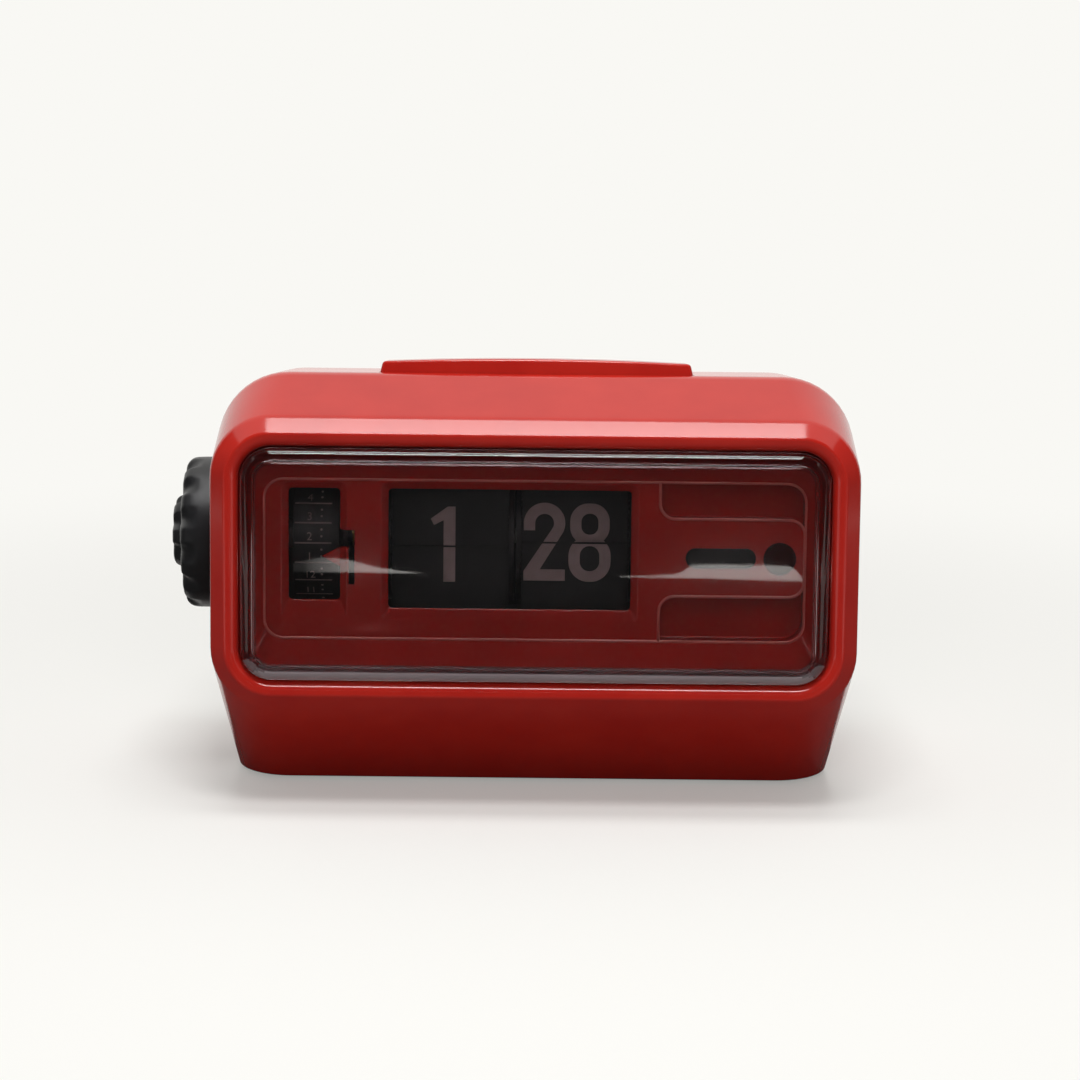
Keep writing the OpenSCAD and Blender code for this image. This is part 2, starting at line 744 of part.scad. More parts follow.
module movement_plate(u1, inward, center_hole) {
    u2 = u1 + plate_t;
    foot_u = inward > 0 ? u2 - eps : u1 - lug_size + eps;
    waist = 30;
    color(steel) in_face() difference() {
        union() {
            along_axis(u1, u2) difference() {
                plate_outline();
                translate([plate_front_n, axis_w]) circle(waist / 2);
            }
            for (s = [-1, 1])
                translate([foot_u, plate_front_n, s * lug_w - 4]) cube([lug_size, plate_t, 8]);
        }
        translate([0, axis_n, axis_w]) rod(u1 - 1, u2 + 1, center_hole);
        for (spot = post_spots)
            translate([0, spot[0], spot[1]]) rod(u1 - 1, u2 + 1, post_r - 0.8 + run_gap);
        at_movement_feet() peg(plate_front_n - 1, plate_front_n + plate_t + 1, screw_r + 2 * run_gap);
        if (inward > 0)
            translate([0, back_n, axis_w]) rod(u1 - 1, u2 + 1, stud_r + run_gap);
        else
            translate([0, motor_n, axis_w]) rod(u1 - 1, u2 + 1, pinion_hole_r);
        if (inward < 0)
            at_motor_ears() rod(u1 - 1, u2 + 1, screw_r + run_gap);
    }
}

module at_motor_ears() {
    for (s = [-1, 1])
        translate([0, motor_n, axis_w + s * (motor_r + ear_off)]) children();
}

module left_plate() {
    movement_plate(left_plate_u, 1, bush_r + run_gap);
}

module right_plate() {
    movement_plate(right_plate_u, -1, bush_r + run_gap);
}

module plate_posts() {
    color(brass) in_face() for (spot = post_spots)
        translate([0, spot[0], spot[1]]) {
            rod(left_plate_u + plate_t, right_plate_u, post_r);
            rod(left_plate_u - 0.6, right_plate_u + plate_t + 0.6, post_r - 0.8);
        }
}

module movement_screws() {
    color(steel) in_face() at_movement_feet() {
        peg(plate_front_n - 5, plate_front_n + plate_t, screw_r);
        peg(plate_front_n + plate_t, plate_front_n + plate_t + 1.6, screw_r + 1.1);
    }
}

module bearing_bushes() {
    color(brass) at_axis() for (u1 = [left_plate_u, right_plate_u]) difference() {
        rod(u1 - (u1 < 0 ? 0.8 : 0), u1 + plate_t + (u1 < 0 ? 0 : 0.8), bush_r);
        rod(u1 - 2, u1 + plate_t + 2, shaft_r + run_gap);
    }
}

function involute(a) = tan(a) * 180 / PI - a;

// Half the angle of a tooth at radius r
function tooth_half(teeth, m, r) =
    let (pressure = 25, slack = 0.06, base = m * teeth / 2 * cos(pressure))
    90 / teeth * (1 - slack) + involute(pressure) - involute(acos(min(1, base / r)));

// Outline of a gear with one tooth pointing along the first axis
module gear_outline(teeth, m) {
    base = m * teeth / 2 * cos(25);
    tip = m * (teeth / 2 + 0.75);
    foot = m * (teeth / 2 - 1.1);
    radii = [foot, max(base, foot + 0.1 * m), m * teeth / 2, tip];
    polygon([for (i = [0 : teeth - 1], k = [0 : 7])
        let (r = radii[k < 4 ? k : 7 - k], side = k < 4 ? -1 : 1,
            a = i * 360 / teeth + side * tooth_half(teeth, m, r))
        [r * cos(a), r * sin(a)]]);
}

module spur_gear(teeth, m, u1, turned) {
    along_axis(u1, u1 + gear_t) rotate(turned) gear_outline(teeth, m);
}

back_m = 2 * back_c / (pinion_teeth + back_teeth);
hour_m = 2 * back_c / (pinion_teeth + hour_teeth);
drive_m = 2 * motor_c / (drive_teeth + motor_teeth);

module back_stud() {
    color(steel) in_face() translate([0, back_n, axis_w]) {
        rod(left_plate_u - 0.6, hour_wheel_u + gear_t + 1, stud_r);
        rod(hour_wheel_u + gear_t + 0.4, hour_wheel_u + gear_t + 1, stud_r + 1);
    }
}

module back_gear() {
    color(white) in_face() translate([0, back_n, axis_w]) difference() {
        union() {
            spur_gear(back_teeth, back_m, pinion_u, 180 / back_teeth);
            rod(pinion_u, hour_wheel_u + gear_t, stud_r + 0.6);
            spur_gear(pinion_teeth, hour_m, hour_wheel_u, 0);
        }
        rod(pinion_u - 1, hour_wheel_u + gear_t + 1, stud_r + run_gap);
    }
}

module center_shaft() {
    color(steel) at_axis() rod(middle_face + 3, right_plate_u + plate_t + 0.8, shaft_r);
}

module shaft_pinion() {
    color(brass) at_axis() difference() {
        spur_gear(pinion_teeth, back_m, pinion_u, 0);
        rod(pinion_u - 1, pinion_u + gear_t + 1, shaft_r);
    }
}

module drive_wheel() {
    holes = 5;
    color(white) at_axis() difference() {
        union() {
            spur_gear(drive_teeth, drive_m, drive_u, 0);
            rod(minute_flange_right, drive_u + gear_t + 0.4, hub_r);
        }
        rod(minute_flange_right - 1, drive_u + gear_t + 2, shaft_r);
        for (i = [0 : holes - 1])
            rotate([(i + 0.5) * 360 / holes, 0, 0]) translate([0, hub_r + 5, 0])
                rod(drive_u - 1, drive_u + gear_t + 1, 3.4);
    }
}

// A drum hub between two flanges, each with a ring groove for the leaves' tabs
module spool(inner_left, inner_w, bore) {
    inner_right = inner_left + inner_w;
    difference() {
        union() {
            rod(inner_left - flange_t, inner_left, spool_r);
            rod(inner_right, inner_right + flange_t, spool_r);
            rod(inner_left - eps, inner_right + eps, hub_r);
        }
        rod(inner_left - flange_t - 1, inner_right + flange_t + 1, bore);
        for (u1 = [inner_left - groove_d, inner_right - eps]) difference() {
            rod(u1, u1 + groove_d + eps, pivot_r + groove_half);
            rod(u1 - 1, u1 + groove_d + 1, pivot_r - groove_half);
        }
    }
}

module minute_spool() {
    color(black) at_axis() spool(minute_left - leaf_gap, minute_w, shaft_r);
}

module hour_spool() {
    color(black) at_axis() {
        spool(hour_left - leaf_gap, hour_w, shaft_r + run_gap);
        difference() {
            union() {
                spur_gear(hour_teeth, hour_m, hour_wheel_u, 180 / hour_teeth);
                rod(hour_wheel_u, hour_flange_left + eps, hub_r);
            }
            rod(hour_wheel_u - 1, hour_flange_left + 1, shaft_r + run_gap);
        }
    }
}

// One leaf standing on its pivot: a thin plate with a tab at each side
module leaf(left, right, below) {
    across_face(-leaf_t / 2, leaf_t / 2) polygon([[left, leaf_h], [left, tab_half], [left - tab_l, tab_half],
        [left - tab_l, -tab_half], [left, -tab_half], [left, -below], [right, -below], [right, -tab_half],
        [right + tab_l, -tab_half], [right + tab_l, tab_half], [right, tab_half], [right, leaf_h]]);
}

// A leaf whose pivot is turned up the drum from the front and whose plate leans back
module leaf_at(pivot_a, leans, left, right, below) {
    at_axis() translate([0, -pivot_r * cos(pivot_a), pivot_r * sin(pivot_a)]) rotate([-leans, 0, 0])
        leaf(left, right, below);
}

// The set on one drum: past the top leaf they fan over the drum, and below it they hang
module leaf_set(count, left, right, below) {
    step = 360 / count;
    fanned = floor((180 + step / 2) / step);
    for (i = [1 : fanned])
        leaf_at(first_leaf_a + i * step, i * step, left, right, below);
    for (i = [1 : count - fanned - 1])
        leaf_at(first_leaf_a - i * step, 180, left, right, below);
}

module minute_leaves() {
    color(black) leaf_set(minute_count, minute_left, minute_right, minute_root);
}

module hour_leaves() {
    color(black) leaf_set(hour_count, hour_left, hour_right, hour_root);
}

module minute_upper_leaf() {
    color(black) leaf_at(first_leaf_a, 0, minute_left, minute_right, minute_root);
}

module hour_upper_leaf() {
    color(black) leaf_at(first_leaf_a, 0, hour_left, hour_right, hour_root);
}

// Spring fingers that hang from the top front post to just above the top leaves
module leaf_springs() {
    finger_t = 0.3;
    finger_w = 4;
    finger_in = 9.5;
    clip = post_r + 0.05;
    post = post_spots[0];
    leaf_n = axis_n - pivot_r * cos(first_leaf_a);
    leaf_top = axis_w + pivot_r * sin(first_leaf_a) + leaf_h;
    color(steel) in_face()
        for (u = [hour_right - finger_in, minute_left + finger_in])
            along_axis(u - finger_w / 2, u + finger_w / 2) {
                translate(post) difference() {
                    circle(clip + finger_t);
                    circle(clip);
                    translate([0, -clip - 1]) square([2 * clip, 2 * clip + 2]);
                }
                polygon([[post[0] - clip - finger_t, post[1]], [post[0] - clip, post[1]],
                    [leaf_n + finger_t, leaf_top + 0.3], [leaf_n - finger_t, leaf_top + 0.3],
                    [leaf_n - finger_t, leaf_top + 1]]);
            }
}

module motor() {
    ear_t = 1.2;
    gap_u = right_plate_u + plate_t;
    neck_l = 6;
    end_r = 4;
    end_l = 1.6;
    color(steel) in_face() difference() {
        union() {
            translate([0, motor_n, axis_w]) {
                rod(gap_u, gap_u + neck_l, motor_r - 2);
                rod(gap_u + neck_l, gap_u + motor_l, motor_r);
                rod(gap_u + motor_l, gap_u + motor_l + end_l, end_r);
            }
            along_axis(gap_u, gap_u + ear_t) translate([motor_n, axis_w]) {
                square([2 * ear_r, 2 * (motor_r + ear_off)], center = true);
                for (s = [-1, 1])
                    translate([0, s * (motor_r + ear_off)]) circle(ear_r);
            }
        }
        at_motor_ears() rod(gap_u - 1, gap_u + 3, screw_r + run_gap);
        translate([0, motor_n, axis_w]) rod(gap_u - 1, gap_u + 3, shaft_r + run_gap);
    }
}

module motor_screws() {
    color(steel) in_face() at_motor_ears() {
        rod(right_plate_u - 1, right_plate_u + plate_t + 1.2, screw_r);
        rod(right_plate_u + plate_t + 1.2, right_plate_u + plate_t + 2.6, screw_r + 1.1);
    }
}

module motor_pinion() {
    color(brass) in_face() translate([0, motor_n, axis_w]) {
        spur_gear(motor_teeth, drive_m, drive_u, 180 / motor_teeth);
        rod(drive_u, right_plate_u + plate_t + 2.6, shaft_r);
    }
}

// A steel reed fixed to the right plate, its free end over the motor's can
module buzzer_reed() {
    reed_t = 0.5;
    reed_w = 9;
    reed_back = 7;
    gap_u = right_plate_u + plate_t;
    reed_z = axis_w + sqrt(pow(motor_r, 2) - pow(reed_back, 2)) + 0.8;
    color(steel) in_face() translate([gap_u, motor_n - reed_back - reed_w, reed_z]) {
        cube([motor_l - 2, reed_w, reed_t]);
        cube([reed_t, reed_w, plate_hi - reed_z - 1]);
    }
}

module snooze_bar() {
    crown_r = (pow(bar_l / 2, 2) + pow(bar_crown, 2)) / (2 * bar_crown);
    bottom = -case_wall - fit_gap - bar_flange_t;
    bar_wall = 2;
    end_slant = 14;
    color(case_red) on_top() {
        difference() {
            intersection() {
                translate([0, 0, bottom]) linear_extrude(bar_h - bottom) bar_plan(0);
                translate([0, -bar_d, bar_h - crown_r]) rotate([-90, 0, 0])
                    cylinder(r = crown_r, h = 4 * bar_d, $fn = 360);
            }
            translate([0, 0, bottom - eps])
                linear_extrude(bar_h - bar_crown - bar_wall - bottom) bar_plan(-bar_wall);
            for (s = [-1, 1])
                translate([s * bar_l / 2, 0, 0]) rotate([0, -s * end_slant, 0])
                    translate([s > 0 ? 0 : -bar_h, 0, 0]) cube([bar_h, 2 * bar_d, 2 * bar_h]);
        }
        for (s = [-1, 1]) {
            translate([s > 0 ? bar_l / 2 - bar_wall : -bar_l / 2 - bar_flange_w, bar_back + bar_bow + 1, bottom])
                cube([bar_wall + bar_flange_w, bar_d - bar_bow - 2, bar_flange_t]);
            translate([s * guide_x, bar_mid_y, bottom])
                cylinder(r = spring_r + 1.4, h = bar_h - bar_crown - bar_wall / 2 - bottom);
            translate([s * guide_x, bar_mid_y, bracket_z - bracket_t - 1])
                cylinder(r = stem_r, h = -bracket_z + bracket_t);
        }
    }
}

// One tube along a helix, closed at both ends
module coil(radius, wire, length, turns) {
    rings = turns * 8;
    sides = 6;
    points = [for (i = [0 : rings], k = [0 : sides - 1])
        let (a = i * 360 / 8, b = k * 360 / sides, r = radius + wire * cos(b))
        [r * cos(a), r * sin(a), wire + (length - 2 * wire) * i / rings + wire * sin(b)]];
    walls = [for (i = [0 : rings - 1], k = [0 : sides - 1])
        let (a = i * sides + k, b = i * sides + (k + 1) % sides)
        [[a, a + sides, b], [b, a + sides, b + sides]]];
    polyhedron(points, concat([for (pair = walls, face = pair) face],
        [[for (k = [0 : sides - 1]) k]], [[for (k = [sides - 1 : -1 : 0]) rings * sides + k]]));
}

module snooze_springs() {
    slack = 0.05;
    color(steel) on_top() for (s = [-1, 1])
        translate([s * guide_x, bar_mid_y, bracket_z + slack])
            coil(spring_r, spring_wire, spring_l - 2 * slack, spring_turns);
}

module snooze_bracket() {
    color(steel) on_top() difference() {
        translate([-bracket_x - boss_r, bar_mid_y - bracket_d / 2, bracket_z - bracket_t])
            cube([2 * (bracket_x + boss_r), bracket_d, bracket_t]);
        for (s = [-1, 1]) {
            translate([s * guide_x, bar_mid_y, bracket_z - 2 * bracket_t])
                cylinder(r = stem_r + run_gap, h = 3 * bracket_t);
            translate([s * bracket_x, bar_mid_y, bracket_z - 2 * bracket_t])
                cylinder(r = screw_r + 2 * run_gap, h = 3 * bracket_t);
        }
    }
}

module bracket_screws() {
    color(steel) on_top() for (s = [-1, 1])
        translate([s * bracket_x, bar_mid_y, bracket_z - bracket_t]) {
            translate([0, 0, -1.4]) cylinder(r = screw_r + 1.1, h = 1.4);
            cylinder(r = screw_r, h = bracket_t + 5);
        }
}

// Finger scoops that fade from the outer face of a knob towards its back
module scoops(count, knob_r, face, scoop_r) {
    fade = 30;
    for (i = [0 : count - 1])
        rotate([i * 360 / count - 90, 0, 0]) translate([face, 0, knob_r + scoop_r * 0.25])
            rotate([0, -fade, 0]) rod(-2 * scoop_r, 3.2 * scoop_r, scoop_r);
}

// A knob turned about the drums' axis from points of depth behind its face and radius
module turned_knob(face, profile) {
    translate([face, 0, 0]) rotate([0, 90, 0]) rotate_extrude() polygon([for (p = profile) [p[1], p[0]]]);
}

module alarm_knob() {
    edge = 1.2;
    well = middle_r + middle_gap;
    color(black) at_axis() difference() {
        turned_knob(ring_face, [[0, well], [0, ring_r - 2 * edge], [edge, ring_r - 0.5], [ring_d - edge, ring_r],
            [ring_d, ring_r - 0.6], [ring_d, sleeve_r], [ring_d - ring_floor, sleeve_r],
            [ring_d - ring_floor, well]]);
        scoops(ring_scoops, ring_r, ring_face, scoop_r);
    }
}

module alarm_sleeve() {
    color(steel) at_axis() difference() {
        rod(ring_back - ring_floor, drum_right + 1, sleeve_r);
        rod(ring_back - ring_floor - 1, drum_right + 2, shaft_r + run_gap);
    }
}

module alarm_drum() {
    web = 1.5;
    color(black) at_axis() difference() {
        rod(drum_left, drum_right, drum_r);
        difference() {
            rod(drum_left - 1, drum_right - web, drum_r - drum_wall);
            rod(drum_left - 2, drum_right, sleeve_r + 2);
        }
        rod(drum_left - 1, drum_right + 1, sleeve_r);
    }
}

module time_knob() {
    edge = 1;
    length = ring_face - middle_face + ring_d - ring_floor - middle_gap;
    color(black) at_axis() difference() {
        turned_knob(middle_face, [[0, 0], [0, middle_r - 2 * edge], [edge, middle_r - 0.4], [length, middle_r],
            [length, 0]]);
        rod(middle_face + 3, middle_face + length + 1, shaft_r);
        scoops(middle_scoops, middle_r, middle_face, scoop_r);
    }
}

case_shell();
rear_cover();
cover_screws();
rubber_feet();
cord_gland();
alarm_switch();
front_lens();
dial_panel();
panel_screws();
badge_plate();
lamp_lens();
lamp_holder();
lamp_bulb();
alarm_pointer();
left_plate();
right_plate();
plate_posts();
movement_screws();
bearing_bushes();
back_stud();
back_gear();
center_shaft();
shaft_pinion();
drive_wheel();
minute_spool();
hour_spool();
minute_leaves();
hour_leaves();
minute_upper_leaf();
hour_upper_leaf();
leaf_springs();
motor();
motor_screws();
motor_pinion();
buzzer_reed();
alarm_knob();
alarm_sleeve();
alarm_drum();
time_knob();
snooze_bar();
snooze_springs();
snooze_bracket();
bracket_screws();
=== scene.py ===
import math

import bmesh
import bpy
from mathutils import Matrix, Vector


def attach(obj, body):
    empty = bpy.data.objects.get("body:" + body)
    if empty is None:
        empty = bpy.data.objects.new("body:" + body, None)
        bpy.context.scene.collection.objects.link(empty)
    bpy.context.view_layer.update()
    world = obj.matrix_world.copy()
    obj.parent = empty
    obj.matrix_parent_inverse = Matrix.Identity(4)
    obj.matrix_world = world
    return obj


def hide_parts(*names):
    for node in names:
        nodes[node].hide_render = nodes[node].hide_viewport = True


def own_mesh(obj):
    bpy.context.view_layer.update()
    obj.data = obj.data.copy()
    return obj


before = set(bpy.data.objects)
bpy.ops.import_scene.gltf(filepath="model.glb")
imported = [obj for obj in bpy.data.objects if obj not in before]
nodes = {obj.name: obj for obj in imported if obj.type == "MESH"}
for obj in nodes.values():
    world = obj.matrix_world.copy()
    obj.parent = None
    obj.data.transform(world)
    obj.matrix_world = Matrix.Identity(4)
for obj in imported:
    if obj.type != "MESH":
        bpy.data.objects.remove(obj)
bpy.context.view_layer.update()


# Case
# One red ABS moulding with a polished tool finish: window frame, brow, flat top, chin and sides in one wall
# about 2.4 mm thick. It is open at the rear, where the cover goes in.
def blank_finish(name):
    finish = bpy.data.materials.new(name)
    finish.use_nodes = True
    return finish


def adjust(finish, settings):
    surface = finish.node_tree.nodes["Principled BSDF"]
    for socket, value in settings.items():
        surface.inputs[socket].default_value = value


def noise_value(tree, place, scale, detail):
    noise = tree.nodes.new("ShaderNodeTexNoise")
    noise.inputs["Scale"].default_value = scale
    noise.inputs["Detail"].default_value = detail
    tree.links.new(place, noise.inputs["Vector"])
    return noise.outputs["Fac"]


def map_range(tree, value, start, end, low, high, kind="LINEAR"):
    spread = tree.nodes.new("ShaderNodeMapRange")
    spread.interpolation_type = kind
    spread.inputs["From Min"].default_value = start
    spread.inputs["From Max"].default_value = end
    spread.inputs["To Min"].default_value = low
    spread.inputs["To Max"].default_value = high
    tree.links.new(value, spread.inputs["Value"])
    return spread.outputs["Result"]


def mix_shades(tree, place, low, high, scale, detail):
    ramp = tree.nodes.new("ShaderNodeValToRGB")
    ramp.color_ramp.elements[0].position = 0.3
    ramp.color_ramp.elements[0].color = (*low, 1)
    ramp.color_ramp.elements[1].position = 0.7
    ramp.color_ramp.elements[1].color = (*high, 1)
    tree.links.new(noise_value(tree, place, scale, detail), ramp.inputs["Fac"])
    tree.links.new(ramp.outputs["Color"], tree.nodes["Principled BSDF"].inputs["Base Color"])


def grain_surface(tree, height, rough, strength, depth):
    surface = tree.nodes["Principled BSDF"]
    tree.links.new(map_range(tree, height, 0, 1, *rough), surface.inputs["Roughness"])
    bump = tree.nodes.new("ShaderNodeBump")
    bump.inputs["Strength"].default_value = strength
    bump.inputs["Distance"].default_value = depth
    tree.links.new(height, bump.inputs["Height"])
    tree.links.new(bump.outputs["Normal"], surface.inputs["Normal"])


def moulded(name, low, high, rough, grain, depth, cloud=60):
    finish = blank_finish(name)
    tree = finish.node_tree
    place = tree.nodes.new("ShaderNodeTexCoord").outputs["Object"]
    mix_shades(tree, place, low, high, cloud, 4)
    grain_surface(tree, noise_value(tree, place, grain, 3), rough, 0.25, depth)
    return finish


# Places on the window's face in millimetres: u across it, n into the case and w up the leaning face.
face_y, face_z = -56.5, 65.6
face_lean = math.radians(5)


def face_point(u, n, w):
    y = face_y + n * math.cos(face_lean) + w * math.sin(face_lean)
    z = face_z - n * math.sin(face_lean) + w * math.cos(face_lean)
    return Vector((u, y, z)) / 1000


across = face_point(1, 0, 0) - face_point(0, 0, 0)
inward = face_point(0, 1, 0) - face_point(0, 0, 0)
upward = face_point(0, 0, 1) - face_point(0, 0, 0)


def corner_arc(middle, first, last, steps=12):
    points = []
    for step in range(steps + 1):
        turn = math.pi / 2 * step / steps
        points.append(middle + first * math.cos(turn) + last * math.sin(turn))
    return points


def loop_of(arcs, between=8):
    points = []
    for arc, following in zip(arcs, arcs[1:] + arcs[:1]):
        points += arc
        for step in range(1, between):
            points.append(arc[-1].lerp(following[0], step / between))
    return points


def window_loop(width, height, radius, n):
    arcs = []
    for right, top in ((1, 1), (-1, 1), (-1, -1), (1, -1)):
        middle = face_point(right * (width / 2 - radius), n, top * (height / 2 - radius))
        arms = [across * radius * right, upward * radius * top]
        if right * top < 0:
            arms.reverse()
        arcs.append(corner_arc(middle, arms[0], arms[1]))
    return loop_of(arcs)


def body_loop(shoulder, foot, bend):
    half, y, top, radius = shoulder
    foot_half, corner, foot_y, foot_z = foot
    arm = Vector((1, 0, 0)) / 1000
    rise = Vector((0, 0, 1)) / 1000
    turned = Vector(bend) / 1000
    return loop_of([
        corner_arc(Vector((half - radius, y, top - radius)) / 1000, arm * radius, rise * radius),
        corner_arc(Vector((radius - half, y, top - radius)) / 1000, rise * radius, -arm * radius),
        corner_arc(Vector((corner - foot_half, foot_y, foot_z)) / 1000, -arm * corner, turned),
        corner_arc(Vector((foot_half - corner, foot_y, foot_z)) / 1000, turned, arm * corner),
    ])


# Each loop with a reach becomes a rounded edge between the loops before and after it.
def rounded_loops(loops, reaches, steps=7, most=0.85):
    result = []
    for place, (here, reach) in enumerate(zip(loops, reaches)):
        if reach is None:
            result.append(here)
            continue
        before = loops[place - 1]
        after = loops[(place + 1) % len(loops)]
        for step in range(steps + 1):
            t = step / steps
            ring = []
            for index, (a, b, c) in enumerate(zip(before, here, after)):
                size = reach(index) if callable(reach) else reach
                start = b + (a - b).normalized() * min(size / 1000, (a - b).length * most)
                end = b + (c - b).normalized() * min(size / 1000, (c - b).length * most)
                ring.append(start * (1 - t) ** 2 + b * 2 * t * (1 - t) + end * t * t)
            result.append(ring)
    return result


def add_object(name, data):
    piece = bpy.data.objects.new(name, data)
    bpy.context.collection.objects.link(piece)
    return piece


def add_mesh(name, points, faces):
    mesh = bpy.data.meshes.new(name)
    mesh.from_pydata(points, [], faces)
    return add_object(name, mesh)


def skin(name, loops, ends="joined"):
    count = len(loops[0])
    points = [point for loop in loops for point in loop]
    faces = []
    last = len(loops) if ends == "joined" else len(loops) - 1
    for row in range(last):
        following = (row + 1) % len(loops)
        for place in range(count):
            beside = (place + 1) % count
            faces.append((row * count + place, row * count + beside,
                          following * count + beside, following * count + place))
    if ends == "capped":
        faces.append(tuple(reversed(range(count))))
        faces.append(tuple((len(loops) - 1) * count + place for place in range(count)))
    piece = add_mesh(name, points, faces)
    shape = bmesh.new()
    shape.from_mesh(piece.data)
    bmesh.ops.recalc_face_normals(shape, faces=shape.faces)
    shape.to_mesh(piece.data)
    shape.free()
    piece.data.shade_smooth()
    return piece


def even_shading(piece, keep_sharp=False):
    evening = piece.modifiers.new("even shading", "WEIGHTED_NORMAL")
    evening.weight = 80
    evening.keep_sharp = keep_sharp


def cut_away(piece, cutter):
    cut = piece.modifiers.new("cut", "BOOLEAN")
    cut.object = cutter
    cut.operation = "DIFFERENCE"
    cut.solver = "EXACT"
    bpy.context.view_layer.objects.active = piece
    bpy.ops.object.modifier_apply(modifier=cut.name)
    bpy.data.objects.remove(cutter)


def turns_of(count):
    return [2 * math.pi * step / count for step in range(count)]


def rod_cutter(start, along, radius):
    side = along.orthogonal().normalized()
    up = along.normalized().cross(side)
    loops = []
    for end in (0, 1):
        middle = start + along * end
        loop = []
        for turn in turns_of(48):
            loop.append(middle + (side * math.cos(turn) + up * math.sin(turn)) * radius)
        loops.append(loop)
    return skin("cutter", loops, "capped")


# The crest is rounder over the shoulders and the top, the first points of its loop, than along the chin.
def crest_reach(index, upper_points=41):
    return 2.0 if index < upper_points else 1.2


red = moulded("glossy red plastic", (0.5, 0.016, 0.010), (0.56, 0.022, 0.013),
              rough=(0.13, 0.2), grain=900, depth=0.00002)
adjust(red, {"Coat Weight": 0.15, "Coat Roughness": 0.06})
wall = 2.4
opening = (150.8, 60.2, 8.4)
frame_back = 8
frame_wide, frame_tall, frame_radius = 166, 75.4, 16
crest_half, crest_y, crest_z, crest_radius = 83, -28.5, 110.9, 18.8
rear_half, rear_y, rear_z, rear_radius = 81.5, 28.5, 103.1, 16.5
base_half, base_z = 80, 1
chin_y, chin_radius = -13.5, 15
heel_y, heel_radius = 23.5, 5
case_loops = [
    window_loop(*opening, 0),
    window_loop(158, 67.4, 12, 0),
    window_loop(frame_wide, frame_tall, frame_radius, 4.4),
    body_loop((crest_half, crest_y, crest_z, crest_radius),
              (base_half, chin_radius, chin_y, base_z), (0, -chin_radius, 0)),
    body_loop((rear_half, rear_y, rear_z, rear_radius),
              (base_half, heel_radius, heel_y, base_z), (0, heel_radius, 0)),
    body_loop((rear_half - wall, rear_y, rear_z - wall, rear_radius - wall),
              (base_half - wall, heel_radius - wall, rear_y, base_z + heel_radius),
              (0, 0, wall - heel_radius)),
    body_loop((crest_half - wall, crest_y, crest_z - wall, crest_radius - wall),
              (base_half - wall, chin_radius - wall, chin_y, base_z + wall), (0, wall - chin_radius, 0)),
    window_loop(frame_wide - 2 * wall, frame_tall - 2 * wall, frame_radius - wall, frame_back),
    window_loop(*opening, frame_back),
]
case_rounding = [3.4, 0.5, 0.9, crest_reach, 1.0, 0.5, None, None, None]
case = skin("red_case", rounded_loops(case_loops, case_rounding))

# The slot for the snooze bar follows the bar's bowed front with a small gap all round.
top_slope = math.atan2(crest_z - rear_z, rear_y - crest_y)
crest = Matrix.Translation(Vector((0, crest_y, crest_z)) / 1000) @ Matrix.Rotation(-top_slope, 4, "X")
bar_half, bar_front, bar_back = 41, 1, 22
bow_depth = 3
slot_gap = 0.3
slot_half = bar_half + slot_gap
bow_radius = (bar_half ** 2 + bow_depth ** 2) / (2 * bow_depth)
slot_plan = [(slot_half, bar_back + slot_gap), (-slot_half, bar_back + slot_gap)]
for step in range(25):
    x = slot_half * (step / 12 - 1)
    slot_plan.append((x, bar_front - slot_gap + bow_radius - math.sqrt(bow_radius ** 2 - x ** 2)))
slot_low, slot_high = -7, 4
slot_ends = []
for height in (slot_low, slot_high):
    slot_ends.append([crest @ (Vector((x, y, height)) / 1000) for x, y in slot_plan])
cut_away(case, skin("cutter", slot_ends, "capped"))

# Holes for the feet, and for the drum's tube in the left side.
foot_x, foot_y, foot_hole = 68, 16.5, 0.0051
for x in (-foot_x, foot_x):
    for y in (-foot_y, foot_y):
        cut_away(case, rod_cutter(Vector((x, y, -1)) / 1000, Vector((0, 0, 0.003)), foot_hole))
axle_n, axle_w = 36, 3.8
axle = face_point(0, axle_n, axle_w)
tube_hole = 0.0043
cut_away(case, rod_cutter(Vector((-0.09, axle.y, axle.z)), Vector((0.02, 0, 0)), tube_hole))
case.data.materials.append(red)
case.data.set_sharp_from_angle(angle=math.radians(45))
even_shading(case, keep_sharp=True)
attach(case, "case")
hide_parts("case_shell")


# Dial panel
# A red ABS tray screwed behind the window frame, with a raised plateau and tongue, bevelled openings and
# thin beads moulded along its edges, coloured lighter as a painted highlight. A separate red pointer is fixed
# behind the tab beside the drum.
def soften(name, width, angle=28, clamp=True):
    piece = nodes[name]
    weld = piece.modifiers.new("weld", "WELD")
    weld.merge_threshold = 0.000004
    flats = piece.modifiers.new("flats", "DECIMATE")
    flats.decimate_type = "DISSOLVE"
    flats.angle_limit = math.radians(0.6)
    edges = piece.modifiers.new("edges", "BEVEL")
    edges.width = width / 1000
    edges.segments = 3
    edges.limit_method = "ANGLE"
    edges.angle_limit = math.radians(angle)
    edges.use_clamp_overlap = clamp
    even_shading(piece)


def dress(finish, *names):
    for name in names:
        mesh = nodes[name].data
        mesh.materials.clear()
        mesh.materials.append(finish)


def moulded_line(name, path, ends, half=0.42, rise=0.35):
    rings = []
    last = len(path) - 1
    for index, here in enumerate(path):
        before = path[index - 1]
        after = path[(index + 1) % len(path)]
        if ends == "capped":
            before = path[max(index - 1, 0)]
            after = path[min(index + 1, last)]
        side = (after - before).cross(inward).normalized() * half / 1000
        ring = []
        for turn in turns_of(10):
            ring.append(here + side * math.cos(turn) + inward * rise * math.sin(turn))
        rings.append(ring)
    line = skin(name, rings, ends)
    line.data.materials.append(highlight_line_red)
    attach(line, "case")


